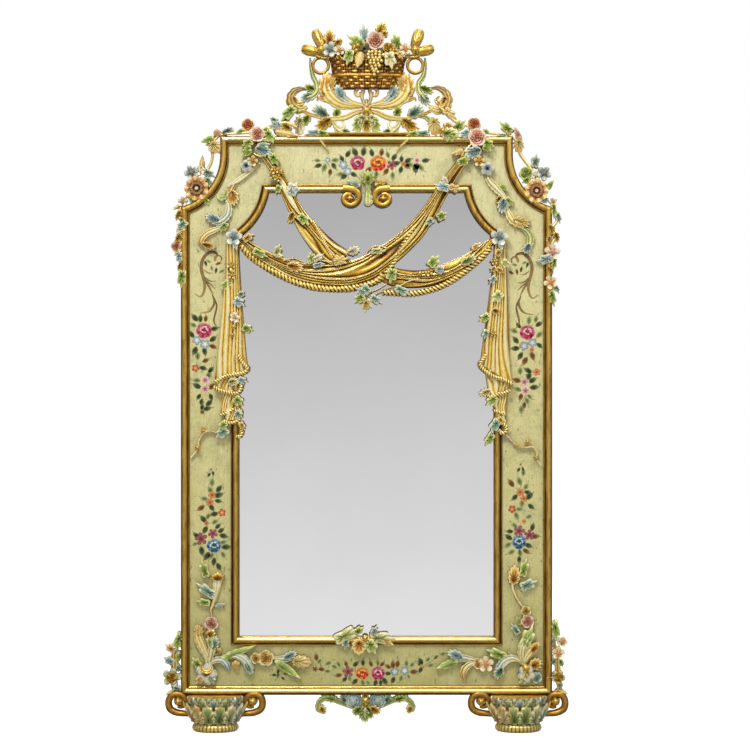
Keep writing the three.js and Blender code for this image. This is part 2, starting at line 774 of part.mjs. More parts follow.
const sideGarlandLeft = {
  thickness: EDGE_THICKNESS,
  bands: [[[4, -6, 8], [-2, -45, 12], [6, -90, 11], [-1, -135, 12], [3, -182, 9]]],
  buds: [[8, -94, 14, -134, 13]],
  leaves: [
    [0, -40, -16, -72, 24],
    [4, -130, 8, -166, 18],
    [2, -170, -4, -236, 26],
  ],
};

const sideGarlandRight = {
  thickness: EDGE_THICKNESS,
  bands: [[[4, -8, 7], [-2, -55, 11], [6, -95, 10], [0, -135, 9], [-3, -185, 9], [-2, -230, 8]]],
  blooms: [
    [1, -127, 20],
    [-4, -214, 17],
  ],
  leaves: [
    [4, -10, 22, -48, 16],
    [0, -10, -8, -44, 16],
    [-4, -138, -46, -152, 26],
    [4, -140, 8, -180, 18],
    [8, -205, 16, -246, 16],
    [0, -222, 4, -284, 22],
  ],
};

const baseGarlandLeft = {
  thickness: EDGE_THICKNESS,
  bands: [[[5, 158, 7], [11, 112, 9], [14, 72, 10], [11, 14, 8]]],
  blooms: [[21, 48, 25]],
  leaves: [
    [5, 120, 11, 168, 26],
    [8, 118, 46, 134, 20],
    [10, 88, 47, 108, 24],
    [8, 14, 42, 6, 18],
  ],
};

const baseGarlandRight = {
  thickness: EDGE_THICKNESS,
  bands: [[[5, 168, 7], [12, 118, 9], [14, 66, 10], [11, 12, 8]]],
  blooms: [
    [25, 148, 14],
    [18, 118, 17],
    [19, 50, 19],
  ],
  leaves: [
    [4, 146, 12, 206, 24],
    [12, 98, 37, 80, 20],
    [12, 44, 32, 12, 18],
    [8, 12, 42, 6, 20],
  ],
};

const cornerAcanthus = {
  thickness: BAND_THICKNESS,
  bands: [
    [[-74, 86, 8], [-82, 140, 6], [-88, 200, 6], [-88, 242, 5], [-92, 262, 7]],
    [[-92, 255, 7], [-97, 290, 12], [-103, 328, 13], [-105, 344, 19]],
    [[-74, 88, 6], [-60, 130, 11], [-47, 156, 10], [-56, 188, 4]],
    [[-80, 74, 10], [-130, 96, 8], [-180, 100, 7], [-240, 106, 6], [-300, 108, 5], [-345, 106, 5]],
    [[-100, 88, 5], [-118, 98, 6], [-136, 76, 5], [-148, 62, 4]],
  ],
  blooms: [
    [-73, 60, 29],
    [-88, 203, 18],
    [-157, 88, 11],
    [-188, 88, 16],
    [-215, 106, 13],
    [-242, 107, 18],
  ],
  leaves: [
    [-62, 74, -28, 106, 24],
    [-82, 122, -92, 172, 30],
    [-92, 250, -118, 264, 14],
    [-88, 252, -45, 276, 22],
    [-94, 272, -45, 320, 26],
    [-90, 300, -56, 382, 28],
    [-122, 100, -206, 138, 28],
    [-140, 104, -202, 64, 28],
    [-255, 106, -330, 130, 22],
    [-310, 110, -374, 92, 30],
    [-255, 104, -336, 52, 28],
    [-70, 46, -48, 36, 22],
  ],
};

const shoulderAcanthus = {
  thickness: BAND_THICKNESS,
  bands: [
    [[-22, 62, 5], [-4, 50, 7], [14, 36, 8], [26, 14, 7]],
    [[18, 2, 7], [40, -26, 8], [33, -55, 8], [52, -82, 6]],
    [[46, -80, 6], [74, -100, 8], [96, -122, 8], [106, -146, 5]],
  ],
  leaves: [
    [24, 22, 12, -34, 36],
    [24, 8, 60, -10, 22],
    [44, -74, 94, -78, 22],
    [50, -84, 42, -114, 22],
    [104, -136, 70, -156, 18],
  ],
};

const sillLeaves = {
  thickness: OVER_MOULDING,
  blooms: [[0, -10, 15]],
  leaves: [
    [0, -8, -80, -2, 24],
    [-8, -4, -26, 26, 22],
    [-30, -6, -60, -34, 18],
    [-2, -4, -28, -50, 36],
    [2, -4, 28, -48, 36],
    [6, -4, 24, 26, 20],
    [0, -8, 80, -4, 22],
    [36, -6, 62, -28, 22],
  ],
};

const topTongue = {
  thickness: OVER_MOULDING,
  bands: [[[0, 34, 12], [0, 14, 8], [0, -6, 8], [0, -24, 13], [0, -38, 6]]],
  leaves: [
    [0, 14, 0, 58, 38],
    [-6, 20, -44, 36, 16],
    [6, 20, 48, 36, 16],
  ],
};

const apron = {
  thickness: 30,
  bands: [
    [[14, -44, 8], [40, -34, 8], [66, -22, 7], [100, -8, 7], [128, -14, 7], [134, -34, 8]],
    [[130, -20, 8], [128, -40, 8], [116, -52, 4]],
    [[-14, -44, 8], [-40, -34, 8], [-66, -22, 7], [-100, -8, 7], [-128, -14, 7], [-134, -34, 8]],
    [[-130, -20, 8], [-128, -40, 8], [-116, -52, 4]],
    [[0, -3, 9], [0, -20, 16], [0, -36, 12]],
  ],
  blooms: [
    [36, -19, 19],
    [-36, -19, 19],
    [0, -15, 14],
    [-3, -66, 13],
  ],
  leaves: [
    [-10, -34, -38, -62, 26],
    [10, -34, 34, -60, 26],
    [-4, -30, -10, -76, 26],
    [6, -34, 16, -74, 24],
  ],
};

const edgeCarving = (list, anchor, side) => (ease) =>
  carving(list, anchor, side, EDGE_CARVING_OUT, ease);
const faceCarving = (list, anchor, side) => (ease) => carving(list, anchor, side, FACE, ease);

// ---------- Swags and drapes ----------

// Centre lines in front of the glass: [share of the sight's half width, height over its top, half]
const FRONT_SWAG = [
  [-0.96, -141, 12],
  [-0.83, -172, 20],
  [-0.69, -205, 28],
  [-0.5, -229, 32],
  [-0.28, -237, 34],
  [-0.08, -230, 37],
  [0.1, -196, 39],
  [0.25, -157, 36],
  [0.39, -110, 29],
  [0.5, -55, 22],
  [0.6, 8, 19],
  [0.7, 62, 16],
  [0.8, 112, 13],
];
const FRONT_HEM_END = 9; // the front swag's hem stops at this point of its centre line
const BACK_SWAG_UPPER = [
  [-0.82, 108, 13],
  [-0.72, 62, 15],
  [-0.63, 0, 18],
  [-0.55, -55, 22],
  [-0.43, -118, 27],
  [-0.31, -165, 28],
  [-0.2, -196, 26],
];
const BACK_SWAG_LOWER = [
  [0.12, -232, 26],
  [0.28, -241, 29],
  [0.45, -242, 30],
  [0.62, -228, 27],
  [0.78, -198, 21],
  [0.9, -165, 15],
  [0.97, -142, 11],
];

const onSight = ([share, y, half]) => [share * SIGHT_HALF_WIDTH, SIGHT_TOP + y, half];

// The rope along a swag's lower edge
function hem(points, last) {
  return along(points.map(onSight), 1)
    .slice(0, last)
    .map(({ x, y, half, acrossX, acrossY }) => {
      const out = half + 0.6 * ROPE_HALF_WIDTH;
      return [x - acrossX * out, y - acrossY * out, ROPE_HALF_WIDTH];
    });
}

const SWAG_RIDGES = 3;
const ROPE_THICKNESS = 0.5 * SWAG_THICKNESS;

function swag(points, hemLast, list, ease) {
  const rows = rowsAlong(points.map(onSight), 1);
  const cloth = folds(rows, SWAG_RIDGES, ON_FACE, SWAG_THICKNESS, ease);
  const bodies = [solid(cloth)];
  if (hemLast) bodies.push(solid(band(hem(points, hemLast), ON_FACE, ROPE_THICKNESS, ease, 1)));
  if (list) bodies.push(carving(list, HEAD, 1, ON_FACE, ease));
  return join(bodies);
}

const frontSwagLeaves = {
  thickness: SWAG_THICKNESS + 3,
  leaves: [
    [-0.46, -214, -0.66, -206, 26],
    [-0.28, -204, -0.5, -186, 24],
    [-0.06, -190, -0.3, -202, 26],
    [0.04, -178, 0.16, -160, 20],
    [0.16, -204, 0.24, -262, 34],
    [0.5, -84, 0.64, -58, 24],
    [0.56, -18, 0.62, 26, 22],
    [-0.72, -200, -0.9, -172, 18],
    [0, -250, -0.08, -304, 28],
    [0, -252, 0.12, -318, 26],
    [0, -250, 0, -336, 24],
  ].map(([x0, y0, x1, y1, width]) => [x0 * SIGHT_HALF_WIDTH, y0, x1 * SIGHT_HALF_WIDTH, y1, width]),
};

const frontSwag = (ease) => swag(FRONT_SWAG, FRONT_HEM_END, frontSwagLeaves, ease);
const backSwagUpper = (ease) => swag(BACK_SWAG_UPPER, 0, null, ease);
const backSwagLower = (ease) => swag(BACK_SWAG_LOWER, BACK_SWAG_LOWER.length, null, ease);

const swagBlossom = (side) => (ease) =>
  solid(mirrored(bloom(SIGHT_HALF_WIDTH + 14, SIGHT_TOP - 127, 23, ON_FACE, OVER_MOULDING, ease), side));

// Drapes hanging beside the glass: rows of [inner x, inner y, outer x, outer y]
const LEFT_DRAPE = [
  [2, -148, 36, -148],
  [-3, -230, 41, -225],
  [-8, -320, 48, -320],
  [-15, -410, 58, -420],
  [-25, -500, 68, -535],
  [-8, -530, 62, -552],
  [4, -580, 52, -580],
  [4, -612, 52, -625],
  [-4, -640, 46, -650],
  [-4, -672, 22, -680],
  [-6, -692, 8, -694],
];
const LEFT_HEMS = [
  [[-26, -496, 8], [0, -516, 8], [40, -524, 8], [70, -540, 8]],
  [[0, -556, 7], [30, -562, 7], [64, -550, 7]],
  [[8, -610, 7], [52, -626, 7]],
];
const LEFT_TWIG = [
  [18, -668, 7],
  [48, -685, 5],
  [61, -679, 5],
  [97, -677, 5],
  [115, -703, 5],
  [116, -723, 5],
  [135, -747, 4],
];
const RIGHT_DRAPE = [
  [2, -148, 33, -148],
  [-4, -215, 37, -215],
  [-15, -310, 40, -310],
  [-26, -400, 43, -400],
  [-37, -480, 51, -536],
  [-22, -520, 46, -552],
  [-18, -570, 38, -572],
  [0, -606, 34, -620],
  [4, -650, 30, -652],
  [14, -682, 32, -684],
];
const RIGHT_HEMS = [
  [[-38, -478, 8], [-10, -508, 8], [22, -526, 8], [52, -542, 8]],
  [[46, -556, 7], [16, -564, 7], [-18, -574, 7]],
  [[-2, -608, 7], [36, -622, 7]],
];
const RIGHT_TWIG = [
  [24, -664, 7],
  [36, -682, 5],
  [64, -715, 5],
  [88, -719, 5],
  [111, -718, 5],
  [122, -738, 5],
  [120, -752, 5],
  [133, -772, 4],
];
const DRAPE_RIDGES = 2;

const drape = (rows, hems, twig, side) => (ease) => {
  const { x, y } = SIGHT_CORNER;
  const placed = rows.map(([x0, y0, x1, y1]) => [x + x0, y + y0, x + x1, y + y1]);
  const cloth = solid(mirrored(folds(placed, DRAPE_RIDGES, ON_FACE, DRAPE_THICKNESS, ease), side));
  const ropes = carving({ bands: hems, thickness: DRAPE_THICKNESS - 6 }, SIGHT_CORNER, side, ON_FACE, ease);
  const branch = carving({ bands: [twig] }, SIGHT_CORNER, side, ON_FACE, ease);
  return join([cloth, ropes, branch]);
};

// ---------- Feet ----------

// The vase's profile: [radius, height]
const FOOT_PROFILE = [
  [0, 0],
  [FOOT_RING_RADIUS, 0],
  [FOOT_RING_RADIUS, 20],
  [FOOT_RING_RADIUS - 7, 26],
  [FOOT_NECK_RADIUS, 31],
  [FOOT_NECK_RADIUS + 8, 44],
  [FOOT_NECK_RADIUS + 22, 62],
  [FOOT_RIM_RADIUS, 76],
  [FOOT_RIM_RADIUS - 3, 84],
  [FOOT_RIM_RADIUS - 9, FRAME_BOTTOM],
  [0, FRAME_BOTTOM],
];

// One handle, from the vase's side out and round its volute: [x from the axis, y, half]
const FOOT_HANDLE = [
  [44, 50, 8],
  [84, 46, 8],
  [107, 49, 9],
  [126, 62, 9],
  [130, 82, 9],
  [116, 100, 9],
];
const FOOT_EYE = { x: 104, y: 80, radius: 23 };

const foot = (side) => (ease) => {
  const vase = turned(FOOT_PROFILE.map(([radius, y]) => point(radius, y)), 16)
    .scale(1, 1, FOOT_DEPTH_RATIO)
    .translate(FOOT_AXIS, 0, FOOT_AXIS_OUT);
  const middle = FOOT_AXIS_OUT - HANDLE_DEPTH / 2;
  const handles = [-1, 1].map((way) => {
    const points = FOOT_HANDLE.map(([x, y, half]) => [FOOT_AXIS + way * x, y, half]);
    const { x, y, radius } = FOOT_EYE;
    const eye = bloom(FOOT_AXIS + way * x, y, radius, middle, HANDLE_DEPTH + 6, ease);
    const arm = band(points, middle, HANDLE_DEPTH, ease);
    return solid(mirrored(arm, side)).add(solid(mirrored(eye, side)));
  });
  const behind = box(-900, 900, -50, 300, -200, 0);
  return cut(join([solid(mirrored(vase, side)), ...handles]), [solid(behind)]);
};

// ---------- The whole ----------

const slabOutline = frameOutline(-SEAT_GAP);
const boards = solid(plate(slabOutline, -1, FACE + SEAT_GAP));

const sideLine = (line, side) => (distance) =>
  line(distance).map((p) => point(side * p.x, p.y));

const mouldings = {
  outer_moulding_bottom: outerPiece(outerBottomLine),
  outer_moulding_left: outerPiece(sideLine(outerSideLine, LEFT)),
  outer_moulding_right: outerPiece(outerSideLine),
  outer_moulding_left_cove: outerPiece(sideLine(outerCoveLine, LEFT)),
  outer_moulding_right_cove: outerPiece(outerCoveLine),
  outer_moulding_top: outerPiece(outerTopLine),
  inner_moulding_bottom: innerPiece(innerBottomLine),
  inner_moulding_left: innerPiece(sideLine(innerSideLine, LEFT)),
  inner_moulding_right: innerPiece(innerSideLine),
  inner_moulding_left_cove: innerPiece(sideLine(sightArcLine, LEFT)),
  inner_moulding_right_cove: innerPiece(sightArcLine),
  inner_moulding_top_left: (ease) => innerTop(ease).mirror([1, 0, 0]),
  inner_moulding_top_right: innerTop,
};

// Each carving is cut clear of the mouldings and of the carvings before it
const carvings = {
  foot_left: foot(LEFT),
  foot_right: foot(RIGHT),
  swag_blossom_left: swagBlossom(LEFT),
  swag_blossom_right: swagBlossom(RIGHT),
  crest_base: crestBase,
  crest_scroll_left: crest(LEFT),
  crest_scroll_right: crest(RIGHT),
  basket,
  basket_bouquet: basketBouquet,
  rose_spray_left: edgeCarving(roseSpray, ROSE, LEFT),
  rose_spray_right: edgeCarving(roseSpray, ROSE, RIGHT),
  front_swag: frontSwag,
  back_swag_upper: backSwagUpper,
  back_swag_lower: backSwagLower,
  drape_left: drape(LEFT_DRAPE, LEFT_HEMS, LEFT_TWIG, LEFT),
  drape_right: drape(RIGHT_DRAPE, RIGHT_HEMS, RIGHT_TWIG, RIGHT),
  shoulder_acanthus_left: faceCarving(shoulderAcanthus, SIGHT_CORNER, LEFT),
  shoulder_acanthus_right: faceCarving(shoulderAcanthus, SIGHT_CORNER, RIGHT),
  shoulder_spray_left: edgeCarving(shoulderSpray, COVE, LEFT),
  shoulder_spray_right: edgeCarving(shoulderSpray, COVE, RIGHT),
  side_garland_left: edgeCarving(sideGarlandLeft, SHOULDER_CORNER, LEFT),
  side_garland_right: edgeCarving(sideGarlandRight, SHOULDER_CORNER, RIGHT),
  base_garland_left: edgeCarving(baseGarlandLeft, CORNER, LEFT),
  base_garland_right: edgeCarving(baseGarlandRight, CORNER, RIGHT),
  corner_acanthus_left: faceCarving(cornerAcanthus, CORNER, LEFT),
  corner_acanthus_right: faceCarving(cornerAcanthus, CORNER, RIGHT),
  sill_leaves: faceCarving(sillLeaves, SILL, 1),
  apron_shell: edgeCarving(apron, MIDDLE_BOTTOM, 1),
  top_tongue: faceCarving(topTongue, HEAD, 1),
};

// ---------- Colours ----------

const paint = (color, roughness, metalness) =>
  new THREE.MeshStandardMaterial({ color, roughness, metalness });

const GILDING = paint("#b8852f", 0.4, 0.85);
const PAINTED_PANEL = paint("#c9c094", 0.55, 0);
const PAINTED_CARVING = paint("#b9b78c", 0.5, 0);
const MIRROR = paint("#c8ccd0", 0.05, 1);
const BARE_WOOD = paint("#a98758", 0.7, 0);
const STEEL = paint("#8d9094", 0.45, 0.9);

const object = new THREE.Group();

function add(name, body, material) {
  const mesh = new THREE.Mesh(geometryOf(body), material);
  mesh.name = name;
  mesh.geometry.rotateX(Math.PI / 2);
  object.add(mesh);
}

add("stile_left", stile(LEFT), PAINTED_PANEL);
add("stile_right", stile(RIGHT), PAINTED_PANEL);
add("shoulder_block_left", shoulderBlock(LEFT), PAINTED_PANEL);
add("shoulder_block_right", shoulderBlock(RIGHT), PAINTED_PANEL);
add("top_rail", topRail(), PAINTED_PANEL);
add("bottom_rail", bottomRail(), PAINTED_PANEL);
add("mirror_glass", glass(), MIRROR);
add("backing_board", backing(), BARE_WOOD);
add("batten_left", sideBatten(LEFT), BARE_WOOD);
add("batten_right", sideBatten(RIGHT), BARE_WOOD);
add("batten_bottom", bottomBatten(), BARE_WOOD);
add("batten_top", topBatten(), BARE_WOOD);
for (const [side, label] of [[LEFT, "left"], [RIGHT, "right"]]) {
  add(`hanger_plate_${label}`, hangerPlate(side), STEEL);
  add(`hanger_screw_${label}_low`, screw(side, -1), STEEL);
  add(`hanger_screw_${label}_high`, screw(side, 1), STEEL);
}
for (const [name, piece] of Object.entries(mouldings)) add(name, piece(0), GILDING);

const gilded = ["basket", "front_swag", "back_swag_upper", "back_swag_lower", "drape_left", "drape_right"];
const tools = [boards, ...Object.values(mouldings).map((piece) => piece(SEAT_GAP))];
for (const [name, piece] of Object.entries(carvings)) {
  add(name, mainBody(cut(piece(0), tools)), gilded.includes(name) ? GILDING : PAINTED_CARVING);
  tools.push(piece(SEAT_GAP));
}

// Stand it in the middle, its depth centred about the origin
object.updateMatrixWorld(true);
const bounds = new THREE.Box3().setFromObject(object);
const shiftY = -(bounds.min.y + bounds.max.y) / 2;
object.children.forEach((mesh) => mesh.geometry.translate(0, shiftY, 0));

export default object;
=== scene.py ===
"""A tall painted and gilded mirror: carved leaves, flowers, swags and drapes, and vase feet.

Drawn as on a front elevation in millimetres: x to the right of the centre line, y up from the
floor and out from the wall behind. at() turns such a point into the row frame, in metres.
"""

import math
import random

import bpy
import numpy as np
from mathutils import Matrix, Vector


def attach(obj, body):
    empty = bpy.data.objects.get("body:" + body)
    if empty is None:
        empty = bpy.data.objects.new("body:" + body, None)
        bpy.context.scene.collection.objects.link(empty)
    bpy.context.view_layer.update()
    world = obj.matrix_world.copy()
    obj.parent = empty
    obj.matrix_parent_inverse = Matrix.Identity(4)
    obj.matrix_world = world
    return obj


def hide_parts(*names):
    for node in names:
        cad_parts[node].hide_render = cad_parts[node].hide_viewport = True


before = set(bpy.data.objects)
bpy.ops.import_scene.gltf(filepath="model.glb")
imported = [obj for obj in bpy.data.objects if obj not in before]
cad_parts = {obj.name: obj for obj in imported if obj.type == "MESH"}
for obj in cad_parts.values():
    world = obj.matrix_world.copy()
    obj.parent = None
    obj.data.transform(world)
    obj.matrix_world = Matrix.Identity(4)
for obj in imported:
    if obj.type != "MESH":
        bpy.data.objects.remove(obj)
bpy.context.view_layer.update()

MM = 0.001
WALL = 55.0  # the wall plane, behind the origin
FACE = 38.0  # the painted face of the boards, out from the wall
dice = random.Random(11)


def at(x, y, out):
    return Vector((x * MM, (WALL - out) * MM, y * MM))


# ---------- camera ----------

VIEW_WIDTH = 2.1225
DISTANCE = 6.0
EYE = at(24, 1004.65, FACE)
camera_data = bpy.data.cameras.new("camera")
camera_data.sensor_width = 36
camera_data.lens = 36 * DISTANCE / VIEW_WIDTH
camera = bpy.data.objects.new("camera", camera_data)
bpy.context.scene.collection.objects.link(camera)
camera.location = EYE - Vector((0, DISTANCE, 0))
camera.rotation_euler = (math.radians(90), 0, 0)
bpy.context.scene.camera = camera


# ---------- making shapes ----------


def clear():
    if bpy.context.mode != "OBJECT":
        bpy.ops.object.mode_set(mode="OBJECT")
    bpy.ops.object.select_all(action="DESELECT")


def pick(obj):
    clear()
    obj.select_set(True)
    bpy.context.view_layer.objects.active = obj


def face_out(obj):
    pick(obj)
    bpy.ops.object.mode_set(mode="EDIT")
    bpy.ops.mesh.select_all(action="SELECT")
    bpy.ops.mesh.normals_make_consistent(inside=False)
    bpy.ops.object.mode_set(mode="OBJECT")


def loft(name, rings, **values):
    """A cylinder cut across once for each ring of points, then drawn out through them."""
    count, stations = len(rings[0]), len(rings)
    clear()
    bpy.ops.mesh.primitive_cylinder_add(vertices=count, radius=1, depth=stations - 1)
    body = bpy.context.object
    body.name = name
    mesh = body.data
    for layer in (mesh.vertices, mesh.edges, mesh.polygons):
        layer.foreach_set("select", [False] * len(layer))
    for edge in mesh.edges:
        a, b = (mesh.vertices[i].co.z for i in edge.vertices)
        edge.select = abs(a - b) > 0.5
    if stations > 2:
        bpy.context.tool_settings.mesh_select_mode = (False, True, False)
        bpy.ops.object.mode_set(mode="EDIT")
        bpy.ops.mesh.subdivide(number_cuts=stations - 2)
        bpy.ops.object.mode_set(mode="OBJECT")
    size = len(mesh.vertices)
    co = np.empty(size * 3)
    mesh.vertices.foreach_get("co", co)
    co = co.reshape(-1, 3)
    ring = np.rint(co[:, 2] + (stations - 1) / 2).astype(int)
    turn = (math.pi / 2 - np.arctan2(co[:, 1], co[:, 0])) / (2 * math.pi)
    spoke = np.rint(turn * count).astype(int) % count
    drawn = np.array([[tuple(p) for p in line] for line in rings], dtype=float)
    mesh.vertices.foreach_set("co", drawn[ring, spoke].ravel())
    for key, rows in values.items():
        layer = mesh.attributes.new(key, "FLOAT", "POINT")
        layer.data.foreach_set("value", np.array(rows, dtype=float)[ring, spoke])
    face_out(body)
    return body


def smooth(points, steps):
    """Points of any length along a curve through the given ones."""
    pts = np.array([points[0], *points, points[-1]], dtype=float)
    pts[0] = 2 * pts[1] - pts[2]
    pts[-1] = 2 * pts[-2] - pts[-3]
    made = []
    for i in range(1, len(pts) - 2):
        p0, p1, p2, p3 = pts[i - 1 : i + 3]
        for k in range(steps):
            t = k / steps
            a = 2 * p1 + (p2 - p0) * t
            b = (2 * p0 - 5 * p1 + 4 * p2 - p3) * t * t
            c = (3 * p1 - p0 - 3 * p2 + p3) * t * t * t
            made.append((a + b + c) / 2)
    made.append(pts[-2])
    return np.array(made)


def normals_2d(line):
    way = np.gradient(line[:, :2], axis=0)
    way /= np.maximum(np.linalg.norm(way, axis=1, keepdims=True), 1e-9)
    return np.stack([-way[:, 1], way[:, 0]], axis=1)


def stem(points, out, rise, sides=10, steps=5, side=1, grooves=None):
    """A carved scroll or stem lying on the plane out, through [x, y, half width].

    Where it is broad it opens into an acanthus sweep: grooves along it and a lobed outer edge.
    """
    widest = max(half for _, _, half in points)
    if grooves is None:
        grooves = min(4, int(widest / 3)) if widest >= 6 and rise > 8 else 0
    if grooves:
        sides, steps = 7 * grooves + 9, 8
    line = smooth(points, steps)
    across = normals_2d(line)
    bend = np.gradient(np.arctan2(across[:, 1], across[:, 0]))
    outer = -1 if np.median(bend) > 0 else 1
    gone = np.concatenate([[0], np.cumsum(np.linalg.norm(np.diff(line[:, :2], axis=0), axis=1))])
    rings, share, relief = [], [], []
    for (x, y, half), (nx, ny), far in zip(line, across, gone):
        half = max(half, 0.6)
        height = rise * (0.4 + 0.6 * half / widest)
        lobe = abs(math.sin(math.pi * far / max(9.0, 1.25 * widest))) ** 0.6
        ring, edge, lift = [], [], []
        for k in range(sides):
            angle = 2 * math.pi * k / sides
            c, s = math.cos(angle), math.sin(angle)
            up = 0.5 + 0.5 * math.copysign(abs(s) ** 0.7, s)
            # light is painted light: bright where the stem faces out and on groove ridges, painted shade on its sides
            # and between grooves
            reach, light = half * c, max(0.0, up * 1.2 - 0.2)
            if grooves:
                ridge = abs(math.sin(grooves * angle)) ** 0.8 if s > 0 else 0.4
                hem = max(0.0, c * outer)
                reach = half * c * (1 + hem * (0.34 * lobe - 0.12))
                up *= 0.76 + 0.24 * ridge - 0.1 * hem * (1 - lobe)
                light = max(0.0, (0.16 + 0.84 * ridge) * (0.55 + 0.45 * light) - 0.35 * hem * (1 - lobe))
            ring.append(at(side * (x + nx * reach), y + ny * reach, out + height * up))
            edge.append(abs(c))
            lift.append(light)
        rings.append(ring)
        share.append(edge)
        relief.append(lift)
    steps_along = np.linspace(0, 1, len(rings))
    along = [[t] * sides for t in steps_along]
    return loft("stem", rings, share=share, relief=relief, along=along)


# Each rim: angle from the tip in degrees, and the radius there
IVY = [(0, 1.0), (22, 0.6), (52, 0.88), (84, 0.56), (116, 0.7), (146, 0.46), (180, 0.3)]
OVAL = [(0, 1.0), (18, 0.74), (40, 0.56), (70, 0.46), (110, 0.42), (150, 0.4), (180, 0.42)]
FROND = [
    (0, 1.0), (10, 0.76), (20, 0.88), (32, 0.58), (44, 0.74), (58, 0.42), (72, 0.54), (92, 0.32),
    (110, 0.4), (135, 0.24), (180, 0.28),
]
FAN = [
    (0, 1.0), (12, 0.8), (24, 0.98), (36, 0.74), (48, 0.9), (60, 0.62), (74, 0.74), (90, 0.44),
    (110, 0.34), (140, 0.2), (180, 0.18),
]


def lobed(table):
    """A rim through the table, the same on both sides."""
    angles, radii = zip(*table)

    def rim(angle):
        degrees = abs(math.degrees(math.atan2(math.sin(angle), math.cos(angle))))
        return float(np.interp(degrees, angles, radii))

    return rim


def petals(count, depth):
    return lambda angle: 1 - depth * (1 - abs(math.cos(count * angle / 2)) ** 0.6)


SHARES = (0.04, 0.2, 0.42, 0.64, 0.84, 0.96, 1.0)
MODELS = {}


def rosette(name, rim, height, spokes=36, shares=SHARES):
    """One leaf or flower, 1 across its rim's radius and 1 high, from the back to the middle."""
    rings, share, relief = [], [], []
    stops = [(1.05, 0.0)] + [(s, 1.0) for s in reversed(shares)]
    for s, up in stops:
        ring, shade, lift = [], [], []
        for k in range(spokes):
            angle = 2 * math.pi * k / spokes
            reach = s * rim(angle)
            z, lit = height(s, angle)
            ring.append((reach * math.sin(angle), reach * math.cos(angle), z * up))
            shade.append(s if up else 1.0)
            # lit is painted light: painted highlight on heights and near the rim, painted shade in hollows; the back
            # ring gets none, a dark outline of painted shade round each leaf
            lift.append(lit * up)
        rings.append(ring)
        share.append(shade)
        relief.append(lift)
    model = loft(name, rings, share=share, relief=relief)
    MODELS[name] = model.data.copy()
    bpy.data.objects.remove(model)


# Each height function gives a height and the painted light there: painted highlight on heights, ribs and rims, painted
# shade in hollows, folds and rings.
def veined(lobes, sharp=0.5):
    """A leaf with a raised rib to each lobe, a sunk midrib and a turned-down rim."""

    def height(s, angle):
        rib = math.cos(lobes * angle)
        body = 0.62 + 0.28 * math.sin(math.pi * min(s, 0.9) ** 0.8)
        middle = math.exp(-((math.sin(angle) * s / 0.07) ** 2))
        z = body + 0.2 * rib * math.sin(math.pi * s) - 0.14 * middle - (0.34 if s > 0.98 else 0)
        light = 0.62 + (0.1 + sharp) * rib * s * (1.15 - s) * 1.4 - 0.26 * middle
        return z, light + (0.32 if 0.8 < s < 0.97 else 0)

    return height


def folded(s, angle):
    """A leaf with one midrib and side veins."""
    side = abs(math.sin(angle))
    vein = math.cos(11 * angle)
    z = 0.95 - 0.5 * s * side**0.8 + 0.1 * vein * s
    return z * (1 if s < 0.98 else 0.7), 0.8 - 0.3 * side + 0.3 * vein * s + (0.2 if 0.8 < s < 0.97 else 0)


ROSE_RINGS = [(0.0, 0.17, 3, 0.2), (0.17, 0.4, 4, 1.1), (0.4, 0.68, 5, 0.4), (0.68, 1.01, 5, 1.5)]


def rose_height(s, angle):
    """Rings of petals, each ring's lip standing over the foot of the next."""
    wide = s * (1 - 0.09 * math.cos(3 * angle + 0.7) * (s < 0.8))
    for k, (start, end, count, turn) in enumerate(ROSE_RINGS):
        if wide <= end or k == 3:
            t = min(1.0, max(0.0, (wide - start) / (end - start)))
            petal = abs(math.sin(count * angle / 2 + turn)) ** 0.5
            z = 0.96 - 0.14 * k - 0.16 * (1 - t) ** 2 - 0.1 * (1 - petal)
            return z, (0.12 + 0.88 * t**0.8) * (0.35 + 0.65 * petal)
    return 0.5, 0.5


def open_height(count):
    """Open petals round a raised boss."""

    def height(s, angle):
        petal = abs(math.cos(count * angle / 2))
        if s < 0.3:
            return 0.95 - 0.8 * s * s, 0.75
        return 0.42 + 0.4 * s * petal**0.7 - 0.1 * (s > 0.98), 0.35 + 0.65 * petal * s**0.3

    return height


def sun_height(s, angle):
    petal = abs(math.cos(4.5 * angle))
    if s < 0.16:
        return 0.86, 0.95
    if s < 0.3:
        return 0.5, 0.12
    if s < 0.55:
        return 0.92 + 0.05 * math.cos(18 * angle), 0.62 + 0.34 * math.cos(18 * angle)
    if s < 0.62:
        return 0.6, 0.3
    return 0.5 + 0.3 * petal, 0.4 + 0.6 * petal


def cup_height(s, angle):
    z = 0.45 + 0.5 * math.sin(math.pi * min(1, s * 0.75 + 0.05)) ** 1.5
    return (0.3 if s < 0.15 else z), 0.35 + 0.65 * abs(math.cos(2.5 * angle)) * s


def bud_height(s, angle):
    z = 0.25 + 0.75 * math.sqrt(max(0.0, 1 - s * s))
    return z, 0.6 + 0.4 * math.cos(5 * angle) * s


rosette("ivy", lobed(IVY), veined(7))
rosette("oval", lobed(OVAL), folded)
rosette("frond", lobed(FROND), veined(12), spokes=48)
rosette("fan", lobed(FAN), veined(15, 0.36), spokes=60)
ROSE_SHARES = (0.04, 0.11, 0.16, 0.2, 0.28, 0.37, 0.43, 0.54, 0.64, 0.71, 0.82, 0.92, 1.0)
rosette("rose", petals(5, 0.16), rose_height, 40, ROSE_SHARES)
rosette("daisy", petals(5, 0.42), open_height(5), spokes=40)
SUN_SHARES = (0.05, 0.15, 0.18, 0.29, 0.34, 0.44, 0.54, 0.57, 0.66, 0.9, 1.0)
rosette("sun", petals(9, 0.18), sun_height, 52, SUN_SHARES)
TULIP = [(0, 0.96), (14, 1.0), (30, 0.97), (46, 0.82), (62, 0.62), (90, 0.46), (130, 0.4), (180, 0.44)]


